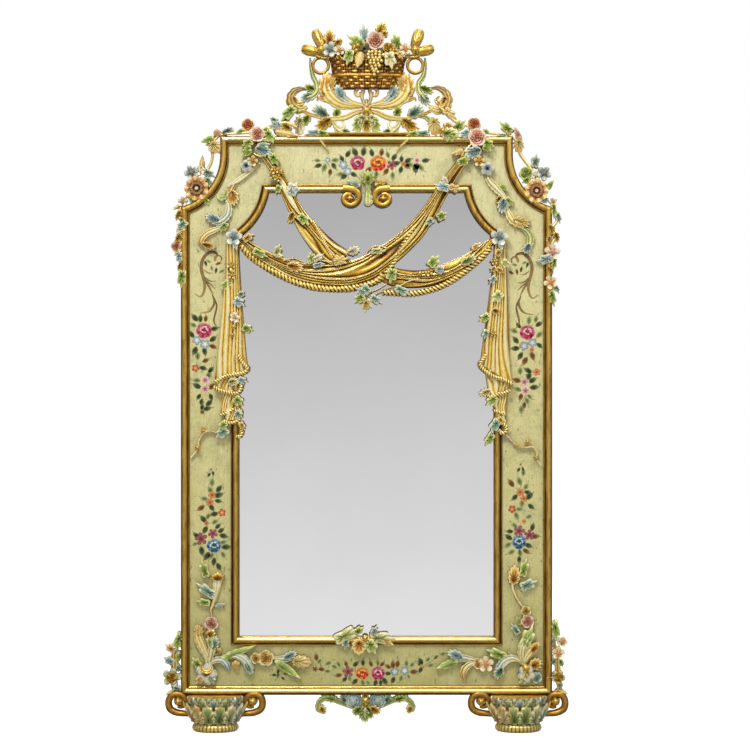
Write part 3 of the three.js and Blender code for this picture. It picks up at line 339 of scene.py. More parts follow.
def tulip_height(s, angle):
    """A swollen, closed flower with a fold down each side of the middle petal."""
    across = math.sin(angle) * s
    fold = math.exp(-(((abs(across) - 0.24) / 0.06) ** 2))
    lip = 0.3 * max(0.0, math.cos(angle)) * s**3
    return math.sqrt(max(0.0, 1.02 - s * s)) * (1 - 0.16 * fold), 0.66 - 0.5 * fold - 0.3 * s**4 + lip


rosette("tulip", lobed(TULIP), tulip_height, spokes=40)
rosette("cup", petals(5, 0.2), cup_height, spokes=30)
rosette("bud", petals(5, 0.05), bud_height, spokes=20)


def linear(code):
    rgb = [int(code[i : i + 2], 16) / 255 for i in (0, 2, 4)]
    return [c / 12.92 if c <= 0.04045 else ((c + 0.055) / 1.055) ** 2.4 for c in rgb]


# Colours from the base or middle of a carving to its tip or rim
PAINTS = dict(
    green="62782A 98AE4C DAE2A6",
    leaf="52691E 88A63E C8D488",
    teal="54796A 8EB09C DCE8DC",
    blue="5E7F8B 86A5AC D5E0DA",
    sky="A2B4B2 96B2B8 E8F0EC",
    orange="8E5C18 D4A23C F6E6A6",
    tan="86601E BE9A46 EADA98",
    cream="C0B47C EAE2B6 FAF5DA",
    creamgreen="7E9050 C2C884 F4EFCB",
    creamblue="DDD8B4 C3D0C6 7C9EA8",
    creamorange="ECE4B4 EAD28A BC8424",
    white="E8DFC0 F4EEDC FBF8EE",
    whiteblue="0E2634 93AAAE FBF8EC",
    bluegold="7A4E18 6F8D96 C2D2CC",
    pink="A8503C DCA08C FBE4D4",
    rose="9A3A20 D07650 F2C49E",
    red="8A2E16 C8622E E7B071",
    sunny="9C6A20 94580C EDB648",
    gold="8C5E1C C79236 E9C66A",
    bluecream="D6D8BC 92ACB0 5C8290",
    goldrose="8E5412 E0B45C FFF2C6",
    moss="4E6428 7E9246 B0A462",
    honey="D2B86C E8D28C C4923C",
    shell="94702C E4DEC4 7E979B",
    ring="A87428 96560F F0CC7C",
    gilt="8C5E1C C79236 E9C66A",
    whitered="9A3A1E EFE2CB FAF5E8",
    whitepink="B9705C F0DDD0 F8F0E4",
    orangewhite="B5602A EBD3A0 F6EEDA",
    magenta_light="DC8C9A EFC0C0 F8E2D8",
    flame_light="EE9A2C F4BE44 F8DC84",
    deepblue_light="8FB2BE C0D6D8 ECF2EA",
    magenta_deep="8A1C3E 9E2A50 AE3E60",
    flame_deep="9A260C B8380F C84E1A",
    deepblue_deep="12344C 1E4A66 34617C",
    shade="2A2012 33270F 4A3A18",
)
# The same for what is brushed on the boards, which is weaker
BOARD_PAINTS = dict(
    inkgreen="222E16 3C4C24 707E44",
    olive="586430 88944E B2BA78",
    bark="563408 7A5012 9E7A2E",
    magenta="86203E B84468 C8607E",
    flame="96260E D8641F E8862C",
    azure="F2E7C0 9DB6C2 5F7F94",
    deepblue="1C4660 4A7890 6F9AB0",
    blush="8A3A48 D98E98 F0CFC8",
    scarlet="F0B648 C8401C A8280F",
    amber="7A3A16 E08A36 D45A1E",
    crimson="4A2A2A A84458 86283E",
    umber="664608 8A661C AE9048",
)
CARVED_STRENGTH, BRUSHED_STRENGTH = 1.3, 0.86  # how strong the tints are laid on


def tint(mesh, paint, rim_gilt=0.0, gilt=0.0, by="share", shade=1.0):
    count = len(mesh.vertices)
    share = np.zeros(count)
    mesh.attributes[by].data.foreach_get("value", share)
    brushed = BOARD_PAINTS.get(paint)
    colours = np.array([linear(code) for code in (brushed or PAINTS[paint]).split()])
    grey = colours.mean(axis=1, keepdims=True)
    colours = np.clip(grey + (colours - grey) * (BRUSHED_STRENGTH if brushed else CARVED_STRENGTH), 0, 1)
    rgba = np.ones((count, 4))
    for channel in range(3):
        rgba[:, channel] = np.interp(share, (0.1, 0.6, 0.98), colours[:, channel])
    rgba[:, :3] *= shade * (0.9 + 0.2 * dice.random())
    layer = mesh.attributes.new("paint", "FLOAT_COLOR", "POINT")
    layer.data.foreach_set("color", rgba.ravel())
    edge = np.zeros(count)
    mesh.attributes["share"].data.foreach_get("value", edge)
    layer = mesh.attributes.new("gilt", "FLOAT", "POINT")
    layer.data.foreach_set("value", np.maximum(gilt, rim_gilt * (edge > 0.95)))
    if "along" in mesh.attributes:
        mesh.attributes.remove(mesh.attributes["along"])


def set_down(name, mesh, x_axis, y_axis, z_axis, spot):
    """A piece of the mesh, drawn out along three axes at the spot."""
    mesh.transform(Matrix([[x_axis[i], y_axis[i], z_axis[i], spot[i]] for i in range(3)] + [[0, 0, 0, 1]]))
    obj = bpy.data.objects.new(name, mesh)
    bpy.context.scene.collection.objects.link(obj)
    return obj


# How far a leaf's model reaches behind its middle, and half its width; a flower has 1 and 1
LEAVES = {"ivy": (0.3, 0.86), "oval": (0.42, 0.48), "frond": (0.3, 0.45), "fan": (0.18, 0.78), "tulip": (0.44, 0.6)}


def place(model, paint, start, tip, width, out, rise, rim_gilt=0.0, gilt=0.0, tilt=0.0):
    """A copy of a model from start to tip; its height stands off the plane out."""
    mesh = MODELS[model].copy()
    way = Vector((tip[0] - start[0], tip[1] - start[1]))
    length = way.length
    way.normalize()
    tint(mesh, paint, rim_gilt, gilt)
    back, broad = LEAVES.get(model, (1.0, 1.0))
    grow = length / (1 + back)
    middle = Vector(start) + way * grow * back
    x_axis = Vector((way.y, 0, -way.x)) * (width / 2 / broad) * MM
    y_axis = Vector((way.x, 0, way.y)) * grow * MM
    z_axis = Vector((0, -1, 0)) * rise * MM
    z_lean = (y_axis.normalized() * tilt) * rise * MM
    return set_down("carved", mesh, x_axis, y_axis, z_axis + z_lean, at(middle.x, middle.y, out))


def bloom(model, paint, x, y, radius, out, rise, rim_gilt=0.0, gilt=0.0):
    spin = dice.random() * 6.28
    reach = (radius * math.sin(spin), radius * math.cos(spin))
    start, tip = (x - reach[0], y - reach[1]), (x + reach[0], y + reach[1])
    return place(model, paint, start, tip, 2 * radius, out, rise, rim_gilt, gilt)


def dull(obj, share):
    """Dims a piece's painted light, which leaves less painted highlight of pale gold on it."""
    for light in obj.data.attributes["relief"].data:
        light.value *= share


def join(name, parts, materials, nodes):
    """Joins copies into one finished piece that stands for its CAD nodes."""
    for part in parts:
        if not part.data.materials:
            part.data.materials.append(materials)
    pick(parts[0])
    for part in parts[1:]:
        part.select_set(True)
    if len(parts) > 1:
        bpy.ops.object.join()
    piece = bpy.context.object
    piece.name = name
    piece.data.name = name
    pick(piece)
    bpy.ops.object.shade_smooth_by_angle(angle=math.radians(60))
    finish_piece(piece, nodes)
    return piece


def finish_piece(piece, nodes):
    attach(piece, "root")
    if nodes:
        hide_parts(*nodes)


# ---------- finishes ----------


class Finish:
    """A material's nodes, added one by one."""

    def __init__(self, name, roughness=0.5, metallic=0.0):
        self.material = bpy.data.materials.new(name)
        self.material.use_nodes = True
        self.tree = self.material.node_tree
        self.shader = self.tree.nodes["Principled BSDF"]
        self.shader.inputs["Roughness"].default_value = roughness
        self.shader.inputs["Metallic"].default_value = metallic
        self.place = self.add("TexCoord").outputs["Object"]

    def add(self, kind, **settings):
        made = self.tree.nodes.new("ShaderNode" + kind)
        for key, value in settings.items():
            setattr(made, key, value)
        return made

    def set(self, socket, value):
        if isinstance(value, bpy.types.NodeSocket):
            self.tree.links.new(value, socket)
        else:
            socket.default_value = value

    def noise(self, scale, detail=4, rough=0.6, stretch=(1, 1, 1)):
        mapping = self.add("Mapping")
        self.set(mapping.inputs["Vector"], self.place)
        mapping.inputs["Scale"].default_value = stretch
        made = self.add("TexNoise")
        self.set(made.inputs["Vector"], mapping.outputs["Vector"])
        made.inputs["Scale"].default_value = scale
        made.inputs["Detail"].default_value = detail
        made.inputs["Roughness"].default_value = rough
        return made.outputs["Fac"]

    def math(self, operation, a, b=0.0, clamp=False):
        made = self.add("Math", operation=operation, use_clamp=clamp)
        self.set(made.inputs[0], a)
        self.set(made.inputs[1], b)
        return made.outputs[0]

    def ramp(self, factor, stops):
        made = self.add("ValToRGB")
        band = made.color_ramp
        while len(band.elements) < len(stops):
            band.elements.new(0.5)
        for element, (position, colour) in zip(band.elements, stops):
            element.position = position
            if isinstance(colour, str):
                element.color = (*linear(colour), 1)
            else:
                element.color = (colour, colour, colour, 1)
        self.set(made.inputs["Fac"], factor)
        return made.outputs["Color"]

    def mix(self, factor, a, b):
        made = self.add("Mix", data_type="RGBA")
        self.set(made.inputs[0], factor)
        for socket, value in ((made.inputs[6], a), (made.inputs[7], b)):
            self.set(socket, (*linear(value), 1) if isinstance(value, str) else value)
        return made.outputs[2]

    def behind(self):
        """1 where the surface looks to the wall."""
        normal = self.add("SeparateXYZ")
        self.set(normal.inputs[0], self.add("NewGeometry").outputs["Normal"])
        return self.math("GREATER_THAN", normal.outputs["Y"], 0.3)

    def attribute(self, name, output="Fac"):
        return self.add("Attribute", attribute_name=name).outputs[output]

    def bump(self, height, strength, distance=0.001):
        made = self.add("Bump")
        made.inputs["Strength"].default_value = strength
        made.inputs["Distance"].default_value = distance
        self.set(made.inputs["Height"], height)
        self.set(self.shader.inputs["Normal"], made.outputs["Normal"])

    def wear(self, **values):
        for key, value in values.items():
            self.set(self.shader.inputs[key], value)


# Gold ramps run from painted shade at 0 to painted highlight at 1.
GOLD_STOPS = [(0.0, "2A1706"), (0.28, "6A4212"), (0.52, "B07C2C"), (0.74, "DDB352"), (1.0, "FAE8A4")]
CARVER_WOOD = ("7A5C38", "9C7A4E", "B8966A")
PALE_GOLD = [
    (0.0, "382206"), (0.2, "785418"), (0.4, "BE9332"), (0.6, "DFBE5A"), (0.82, "F4DF8A"), (1.0, "FDF0BC"),
]


def gold_colour(finish, relief, spread=0.5, stops=GOLD_STOPS, stretch=(1, 1, 1)):
    """Gold leaf over brown bole, darkened by the painted light as painted shade in the hollows and paled as painted
    highlight on the heights.
    """
    blotches = finish.noise(60 if stretch[2] == 1 else 110, 5, 0.65, stretch)
    specks = finish.noise(420, 3, 0.6)
    uneven = finish.math("ADD", finish.math("MULTIPLY", blotches, spread), finish.math("MULTIPLY", specks, 0.24))
    level = finish.math("ADD", relief, finish.math("SUBTRACT", uneven, 0.5 * spread + 0.14), clamp=True)
    return finish.ramp(level, stops), level


def gilding(name, spread=0.5, roughness=(0.5, 0.26), stops=GOLD_STOPS, metallic=0.92, stretch=(1, 1, 1)):
    finish = Finish(name, 0.35, metallic)
    # height here is the painted light, which gives the gold its painted shade and painted highlight
    height = finish.attribute("relief")
    colour, level = gold_colour(finish, height, spread, stops, stretch)
    raw, front = finish.behind(), finish.math("SUBTRACT", 1.0, finish.behind())
    finish.wear(**{"Base Color": finish.mix(raw, colour, wood_colour(finish, UPWARD, CARVER_WOOD))})
    finish.wear(Metallic=finish.math("MULTIPLY", front, metallic))
    finish.wear(Roughness=finish.ramp(level, [(0.0, roughness[0]), (1.0, roughness[1])]))
    grain = finish.math("ADD", finish.noise(900, 2), finish.math("MULTIPLY", finish.noise(150, 3), 1.6))
    finish.bump(grain, 0.35, 0.0006)
    return finish.material


def painted_carving(name, glaze_and_shade_depth=0.92, chalk_and_highlight=1.0, shine=0.5):
    """Tinted gesso with gilding on the edges; brown is laid on the low, side-facing parts as painted shade, partly a
    rubbed glaze, and pale cream on the heights as painted highlight.
    """
    finish = Finish(name, 0.45, 0.0)
    paint = finish.attribute("paint", "Color")
    relief = finish.attribute("relief")
    patch = finish.noise(110, 5, 0.65)
    tone = finish.mix(finish.math("MULTIPLY", patch, 0.22 * chalk_and_highlight), paint, "F2EBCB")
    tone = finish.mix(finish.ramp(finish.noise(700, 3), [(0.4, 0.0), (0.66, 0.3 * chalk_and_highlight)]), tone, "7A6A34")
    # painted shade: brown where the painted light is low, partly a rubbed glaze; painted highlight: pale cream where it
    # is high
    glaze_and_shade = finish.math("ADD", relief, finish.math("SUBTRACT", finish.math("MULTIPLY", patch, 0.6), 0.3))
    dark = finish.ramp(glaze_and_shade, [(0.06, glaze_and_shade_depth), (0.32, 0.4 * glaze_and_shade_depth), (0.56, 0.05), (0.8, 0.0)])
    tone = finish.mix(dark, tone, "33220C")
    tone = finish.mix(finish.ramp(glaze_and_shade, [(0.82, 0.0), (1.0, 0.55 * chalk_and_highlight)]), tone, "F8F0CC")
    # the gilt edges also take painted shade and painted highlight from the painted light
    gold, _ = gold_colour(finish, finish.math("MULTIPLY", relief, 0.9), 0.5, PALE_GOLD)
    gilt = finish.attribute("gilt")
    worn = finish.math("MULTIPLY", gilt, finish.ramp(finish.noise(240, 3), [(0.34, 0.25), (0.5, 1.0)]))
    raw = finish.behind()
    gilded = finish.math("MULTIPLY", worn, finish.math("SUBTRACT", 1.0, raw))
    colour = finish.mix(raw, finish.mix(worn, tone, gold), wood_colour(finish, UPWARD, CARVER_WOOD))
    finish.wear(**{"Base Color": colour})
    finish.wear(Metallic=finish.math("MULTIPLY", gilded, 0.55))
    finish.wear(Roughness=finish.ramp(worn, [(0.0, 0.42), (1.0, 0.3)]))
    finish.wear(**{"Specular IOR Level": shine})
    grain = finish.math("ADD", finish.noise(800, 2), finish.math("MULTIPLY", finish.noise(170, 3), 1.2))
    finish.bump(grain, 0.3, 0.0006)
    return finish.material


def painted_board(name, grain_way):
    """Cream-green distemper, speckled and brushed, darker and greener towards the floor; bare wood behind."""
    finish = Finish(name, 0.55)
    split = finish.add("SeparateXYZ")
    finish.set(split.inputs[0], finish.place)
    height = finish.math("DIVIDE", split.outputs["Z"], 1.7)
    base = finish.ramp(height, [(0.04, "B4AD62"), (0.3, "CEC580"), (0.62, "D8D08F"), (0.97, "D9D29C")])
    cloud = finish.noise(14, 5, 0.6)
    tone = finish.mix(finish.ramp(cloud, [(0.35, 0.0), (0.7, 0.3)]), base, "E2DCB0")
    tone = finish.mix(finish.ramp(finish.noise(30, 5, 0.7), [(0.48, 0.0), (0.72, 0.5)]), tone, "9A9E6A")
    grain = finish.noise(220, 4, 0.7, (1, 1, 0.12))
    tone = finish.mix(finish.ramp(grain, [(0.45, 0.0), (0.75, 0.3)]), tone, "8E8A5E")
    speck = finish.noise(560, 3, 0.7)
    tone = finish.mix(finish.ramp(speck, [(0.58, 0.0), (0.66, 0.7)]), tone, "5F5A2E")
    dash = finish.noise(150, 2, 0.5, (1, 1, 0.4))
    tone = finish.mix(finish.ramp(dash, [(0.68, 0.0), (0.71, 0.6)]), tone, "4E4A26")
    light = finish.noise(500, 2, 0.5)
    tone = finish.mix(finish.ramp(light, [(0.6, 0.0), (0.72, 0.4)]), tone, "EDE6C2")
    wood = wood_colour(finish, grain_way, ("8C6B42", "B08C5E", "CBAB7C"))
    finish.wear(**{"Base Color": finish.mix(finish.behind(), tone, wood)})
    finish.wear(Roughness=finish.ramp(cloud, [(0.3, 0.5), (0.7, 0.66)]))
    finish.bump(finish.math("ADD", grain, finish.math("MULTIPLY", speck, 0.7)), 0.25, 0.0005)
    return finish.material


UPWARD, ACROSS = (1, 1, 0.05), (0.05, 1, 1)  # which way the grain runs


def wood_colour(finish, grain_way, tones):
    rings = finish.noise(34, 6, 0.7, grain_way)
    pores = finish.noise(500, 3, 0.7, grain_way)
    tone = finish.ramp(rings, list(zip((0.3, 0.5, 0.7), tones)))
    return finish.mix(finish.ramp(pores, [(0.5, 0.0), (0.75, 0.5)]), tone, "5A3F22")


def bare_wood(name, grain_way):
    finish = Finish(name, 0.68)
    finish.wear(**{"Base Color": wood_colour(finish, grain_way, ("6A4C30", "8E6A44", "A9845A"))})
    finish.bump(finish.noise(420, 3, 0.7, grain_way), 0.4, 0.0005)
    return finish.material


def mirror_finish(name):
    finish = Finish(name, 0.03, 1.0)
    haze = finish.noise(3, 3, 0.5)
    finish.wear(**{"Base Color": finish.ramp(haze, [(0.3, "F1F1F1"), (0.7, "F5F5F5")])})
    return finish.material


def steel(name, tone):
    finish = Finish(name, 0.42, 1.0)
    dull = finish.noise(60, 5, 0.6)
    finish.wear(**{"Base Color": finish.mix(finish.ramp(dull, [(0.4, 0.0), (0.75, 0.35)]), tone, "807E79")})
    finish.wear(Roughness=finish.ramp(dull, [(0.3, 0.4), (0.7, 0.48)]))
    finish.bump(finish.noise(900, 2, 0.6, (0.1, 1, 1)), 0.2, 0.0003)
    return finish.material


BOARD = painted_board("painted_upright_board", UPWARD)
RAIL = painted_board("painted_level_board", ACROSS)
WOOD = bare_wood("bare_wood", UPWARD)
BATTEN = bare_wood("batten_wood", ACROSS)
GLASS = mirror_finish("silvered_glass")
STEEL = steel("hanger_steel", "9C9A94")
SCREW = steel("screw_steel", "B8B4A8")
MOULDING = gilding(
    "gilt_moulding",
    0.5,
    stops=[(0.0, "2E1A08"), (0.25, "70480F"), (0.5, "B8822C"), (0.75, "DDB65A"), (1.0, "F6DC8A")],
)
# The upright lengths get a darker copy of the moulding gold as painted shade, with streaks of bole showing as wear.
UPRIGHT_STREAKED_AND_SHADED = gilding(
    "gilt_upright_streaked_and_shaded",
    1.0,
    (0.62, 0.46),
    [(0.0, "241304"), (0.28, "4E300A"), (0.42, "7A4212"), (0.58, "7E5C1A"), (0.8, "A88030"), (1.0, "D6B058")],
    0.75,
    (1, 1, 0.16),
)
CARVED_GOLD = gilding("gilt_carving", 0.42, metallic=0.7)
# A paler gold for the carved cloth, near white at its top stops: painted highlight where its painted light is high.
BRIGHT_GOLD = [
    (0.0, "382206"), (0.2, "785212"), (0.39, "C4922C"), (0.57, "E2BE4C"), (0.78, "F8E182"), (1.0, "FFF6C6"),
]
CLOTH_GOLD = gilding("gilt_cloth", 0.36, (0.45, 0.3), BRIGHT_GOLD, 0.32)
CARVED = painted_carving("painted_carving")
PETALS = painted_carving("painted_decoration", 0.3, 0.15, 0.12)

for node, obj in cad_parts.items():
    slots = (
        (("stile", "shoulder_block"), BOARD),
        (("top_rail", "bottom_rail"), RAIL),
        (("mirror_glass",), GLASS),
        (("backing", "batten"), WOOD),
        (("batten_top", "batten_bottom"), BATTEN),
        (("hanger_plate",), STEEL),
        (("hanger_screw",), SCREW),
    )
    for starts, finish in slots:
        if node.startswith(starts):
            obj.data.materials.clear()
            obj.data.materials.append(finish)
            for slot in obj.material_slots:
                slot.material = finish


# ---------- mouldings ----------


def arc(cx, cy, radius, start, end, steps=22):
    turns = np.radians(np.linspace(start, end, steps + 1))
    return [(cx + radius * math.cos(t), cy + radius * math.sin(t)) for t in turns]


def bearing(cx, cy, x, y):
    return math.degrees(math.atan2(y - cy, x - cx))


def mirrored(points):
    return [(-x, *rest) for x, *rest in reversed(points)]


# The outline, anticlockwise, one run to each length of moulding
SIDE, FOOT, TOP, NECK = 525, 100, 1680, 414
COVE = (567, 1627, 153)
SHOULDER = COVE[1] - math.sqrt(COVE[2] ** 2 - (COVE[0] - SIDE) ** 2)
cove = arc(*COVE, 180 + bearing(0, 0, COVE[0] - SIDE, COVE[1] - SHOULDER), 180) + [(NECK, TOP)]
OUTER = {
    "outer_moulding_bottom": [(-SIDE, FOOT), (SIDE, FOOT)],
    "outer_moulding_right": [(SIDE, FOOT), (SIDE, SHOULDER)],
    "outer_moulding_right_cove": cove,
    "outer_moulding_top": [(NECK, TOP), (-NECK, TOP)],
    "outer_moulding_left_cove": mirrored(cove),
    "outer_moulding_left": [(-SIDE, SHOULDER), (-SIDE, FOOT)],
}
SIGHT, SILL, HEAD = 360, 265, 1520
ARC = (470, 1557, 197)
SPRING = ARC[1] - math.sqrt(ARC[2] ** 2 - (ARC[0] - SIGHT) ** 2)
CORNER = ARC[0] - math.sqrt(ARC[2] ** 2 - (ARC[1] - HEAD) ** 2)
bend = arc(*ARC, bearing(*ARC[:2], SIGHT, SPRING) % 360, bearing(*ARC[:2], CORNER, HEAD) % 360)
INNER = {
    "inner_moulding_bottom": [(-SIGHT, SILL), (SIGHT, SILL)],
    "inner_moulding_right": [(SIGHT, SILL), (SIGHT, SPRING)],
    "inner_moulding_right_cove": bend,
    "head": [(CORNER, HEAD), (-CORNER, HEAD)],
    "inner_moulding_left_cove": mirrored(bend),
    "inner_moulding_left": [(-SIGHT, SPRING), (-SIGHT, SILL)],
}

# Across a moulding from the frame's edge or the opening: how far in, how high, and how bright its painted light is,
# painted highlight on the round and painted shade in the hollow
OUTER_PROFILE = [
    (0, 0, 0.0), (0, 5, 0.2), (0.8, 8, 0.5), (2.6, 11, 0.72), (5.2, 13.1, 0.88), (8.5, 14, 1.0),
    (12, 13.6, 1.0), (15.5, 12, 0.92), (18.2, 9.4, 0.75), (19.8, 6.2, 0.12), (20.6, 6, 0.1),
    (22, 7.2, 0.85), (23.8, 6.6, 0.9), (25, 3.8, 0.4), (25, 0, 0.0),
]
# painted shade on the bottom moulding: its painted light is held lower towards its lower edge
SHADE_CAPS = (0.12, 0.26, 0.42, 0.6, 0.8, 0.95)  # the most light the low moulding shows, by each 2 mm across
LOW_PROFILE = [(x, up, min(light, SHADE_CAPS[min(5, int(x / 2))])) for x, up, light in OUTER_PROFILE]
INNER_PROFILE = [
    (0, 0, 0.0), (0, 5, 0.3), (1.2, 8.4, 0.7), (3.4, 11.2, 0.85), (6, 13, 0.95), (9.4, 14, 1.0),
    (12.6, 13.6, 0.95), (15.6, 11.9, 0.7), (17.6, 9.2, 0.45), (19, 6.4, 0.1), (19.8, 6.2, 0.1),
    (21.2, 7.4, 0.7), (22.8, 6.8, 0.8), (24, 4, 0.4), (24, 0, 0.0),
]


def mitres(outline):
    """At each corner of a closed outline, the way in that keeps a moulding's width."""
    count = len(outline)
    ways = []
    for i, here in enumerate(outline):
        before, after = outline[i - 1], outline[(i + 1) % count]
        a = Vector(here) - Vector(before)
        b = Vector(after) - Vector(here)
        na, nb = Vector((-a.y, a.x)).normalized(), Vector((-b.y, b.x)).normalized()
        ways.append((na + nb) / (1 + na.dot(nb)))
    return ways


def run_moulding(name, line, ways, profile, side, node):
    rings, relief = [], []
    stations = list(zip(line, ways))
    if len(stations) == 2:
        (a, wa), (b, wb) = stations
        count = max(3, int((Vector(b) - Vector(a)).length / 30))
        turns = [k / count for k in range(count + 1)]
        stations = [(Vector(a).lerp(Vector(b), t), wa if t == 0 else wb if t == 1 else None) for t in turns]
        plain = Vector((-(Vector(b) - Vector(a)).y, (Vector(b) - Vector(a)).x)).normalized()
        stations = [(p, plain if w is None else w) for p, w in stations]
    for i, (point, way) in enumerate(stations):
        ring, lift = [], []
        for inset, height, bright in profile:
            wave = 0.25 * math.sin(i * 1.7 + inset) if 0 < i < len(stations) - 1 else 0
            x, y = point[0] + side * way.x * inset, point[1] + side * way.y * inset
            ring.append(at(x, y, FACE + height + (wave if height > 9 else 0)))
            lift.append(bright)
        rings.append(ring)
        relief.append(lift)
    piece = loft(name, rings, relief=relief)
    pick(piece)
    bpy.ops.object.shade_smooth_by_angle(angle=math.radians(50))
    level = abs(line[0][1] - line[-1][1]) < 1
    # upright lengths take the darker gold, painted shade where the level ones are left lighter
    piece.data.materials.append(MOULDING if level else UPRIGHT_STREAKED_AND_SHADED)
    finish_piece(piece, [node])
    return piece


def frame_mouldings(runs, profile, side):
    outline, spans = [], {}
    for name, line in runs.items():
        spans[name] = (len(outline), len(outline) + len(line) - 1)
        outline += line[:-1]
    ways = mitres(outline)
    count = len(outline)
    for name, (first, last) in spans.items():
        line = [outline[i % count] for i in range(first, last + 1)]
        turn = [ways[i % count] for i in range(first, last + 1)]
        if name != "head":
            # the bottom moulding takes the profile with painted shade on its lower side
            shape = LOW_PROFILE if name == "outer_moulding_bottom" else profile
            run_moulding(name + "_gilt", line, turn, shape, side, name)
    return {name: [ways[first % count], ways[last % count]] for name, (first, last) in spans.items()}


frame_mouldings(OUTER, OUTER_PROFILE, 1)
inner_ways = frame_mouldings(INNER, INNER_PROFILE, -1)


# ---------- carving ----------


def plan(table, side=1):
    """A carver's list, a piece to a line: its kind, its paint and its sizes in millimetres.

    A stem has its height, then its points after a colon. A leaf has its foot, tip and width,
    and a flower its middle and radius, with how far out it is set if that isn't 0.
    """
    pieces = []
    for line in table.strip().splitlines():
        words, _, points = line.partition(":")
        kind, paint, *sizes = words.split()
        sizes = [float(size) for size in sizes]
        if points:
            route = [[float(size) for size in point.split()] for point in points.split(",")]
            sizes.insert(0, [(side * x, y, half) for x, y, half in route])
        elif kind in LEAVES:
            sizes[0], sizes[2] = side * sizes[0], side * sizes[2]
        else:
            sizes[0] = side * sizes[0]
        pieces.append((kind, paint, *sizes))
    return pieces


def carve(items, out, rise, rim=0.35):
    """Each leaf runs from its foot to its tip; each flower has a middle and a radius."""
    parts = []
    for kind, paint, *sizes in items:
        gilt = 1.0 if paint == "gilt" else 0.0
        lift = dice.uniform(-1.2, 1.2)
        if kind == "stem":
            line, height = sizes
            body = stem(line, out, height)
            tint(body.data, paint, rim, gilt, by="along")
            parts.append(body)
        elif kind in LEAVES:
            x0, y0, x1, y1, width, *more = sizes
            base = out + sum(more) + lift
            parts.append(place(kind, paint, (x0, y0), (x1, y1), width, base, rise, rim, gilt, 0.25))
        else:
            x, y, radius, *more = sizes
            base = out + sum(more) + lift
            tall = rise + 3 if kind != "berry" else 9
            parts.append(bloom(kind, paint, x, y, radius, base + rise + 3 - tall, tall, rim * 0.6, gilt))
    return parts


def spray(node, items, out, rise, rim=0.35, extra=()):
    parts = carve(items, out, rise, rim) + list(extra)
    return join(node + "_carved", parts, CARVED, [node])


ROSE_LEFT = plan("""
stem gilt 15: -196 1704 4, -228 1718 5, -262 1708 5, -300 1696 4, -345 1689 4, -398 1686 3
ivy leaf -204 1762 -242 1722 36
ivy sky -238 1712 -278 1708 32
ivy teal -252 1722 -272 1730 18
fan tan -212 1696 -242 1718 28
oval creamorange -262 1694 -198 1680 26 4
ivy green -284 1696 -262 1658 34 6
ivy leaf -296 1690 -272 1700 24
oval leaf -344 1700 -366 1688 14
oval white -326 1702 -322 1672 18 4
rose pink -308 1684 22 10
rose red -335 1711 18 4
ivy green -322 1666 -352 1650 28 6
oval leaf -322 1642 -352 1624 22 8
oval green -324 1652 -346 1638 16 10
fan sky -316 1646 -266 1630 36 8
oval teal -312 1650 -274 1656 20 8
ivy leaf -270 1628 -250 1596 32 8
stem gilt 20: -318 1630 3, -300 1622 3.5, -282 1626 3
daisy orange -322 1608 16 6
cup whiteblue -339 1595 18 2
""")
ROSE_RIGHT = plan("""
stem gilt 15: 204 1764 3, 228 1744 5, 250 1722 5, 282 1710 4, 312 1698 4, 350 1688 4, 394 1686 3
ivy creamorange 220 1756 254 1728 30
ivy leaf 246 1696 280 1724 34
oval orange 216 1712 244 1708 18
frond creamgreen 206 1684 264 1688 34 4
ivy green 252 1690 226 1664 30 6
bud gilt 215 1694 11 4
ivy sky 292 1694 262 1676 30 6
oval leaf 330 1700 346 1686 14
rose red 304 1713 19 4
rose pink 312 1675 26 10
ivy green 328 1664 362 1648 30 6
oval leaf 326 1652 350 1638 20 8
fan sky 326 1642 276 1624 42 8
oval creamorange 276 1642 240 1628 24 6
ivy leaf 258 1602 292 1614 30 8
stem gilt 20: 296 1656 3, 280 1640 3.5, 268 1624 3
daisy orange 318 1608 16 6
cup whiteblue 341 1587 19 2
""")
spray("rose_spray_left", ROSE_LEFT, 39, 20)
spray("rose_spray_right", ROSE_RIGHT, 39, 20)

SHOULDER_LEFT = plan("""
stem gilt 15: -398 1690 3, -424 1676 4, -437 1652 4, -436 1622 4, -444 1596 4.5, -462 1572 5
oval leaf -428 1678 -466 1664 20
oval green -440 1666 -452 1654 12
bud pink -422 1690 12
fan sky -412 1686 -376 1702 24
frond creamorange -442 1668 -416 1632 34 2
oval white -438 1656 -444 1640 14
sun sunny -480 1532 35 6
ivy green -462 1508 -446 1488 22
ivy green -500 1512 -486 1492 24
daisy bluegold -495 1577 21 3
daisy white -471 1583 14
oval creamorange -467 1586 -463 1622 17
ivy teal -462 1584 -428 1564 30
ivy teal -454 1566 -438 1536 24
stem gilt 16: -514 1498 3, -508 1510 3.5, -496 1510 3.5, -492 1499 3, -500 1494 2.5
daisy whitered -520 1495 15
oval creamorange -524 1488 -544 1474 13
ivy teal -476 1500 -500 1488 18
""")
SHOULDER_RIGHT = plan("""
stem gilt 15: 396 1688 3, 422 1670 4, 434 1648 5, 434 1632 5, 447 1612 4.5, 461 1594 4.5, 472 1578 4
ivy green 410 1690 378 1720 32
oval pink 436 1670 420 1702 18
oval sky 402 1676 372 1682 15 2
frond creamorange 430 1678 432 1630 28
ivy teal 475 1592 481 1630 30
rose green 452 1575 20
ivy leaf 462 1562 440 1548 20
daisy bluegold 502 1575 21 3
daisy white 479 1570 13
oval leaf 510 1530 526 1552 18
sun ring 480 1525 34 6
ivy sky 488 1506 520 1496 22
oval white 494 1500 468 1492 12
daisy whitered 528 1495 12
""")
spray("shoulder_spray_left", SHOULDER_LEFT, 30, 22)
spray("shoulder_spray_right", SHOULDER_RIGHT, 30, 22)

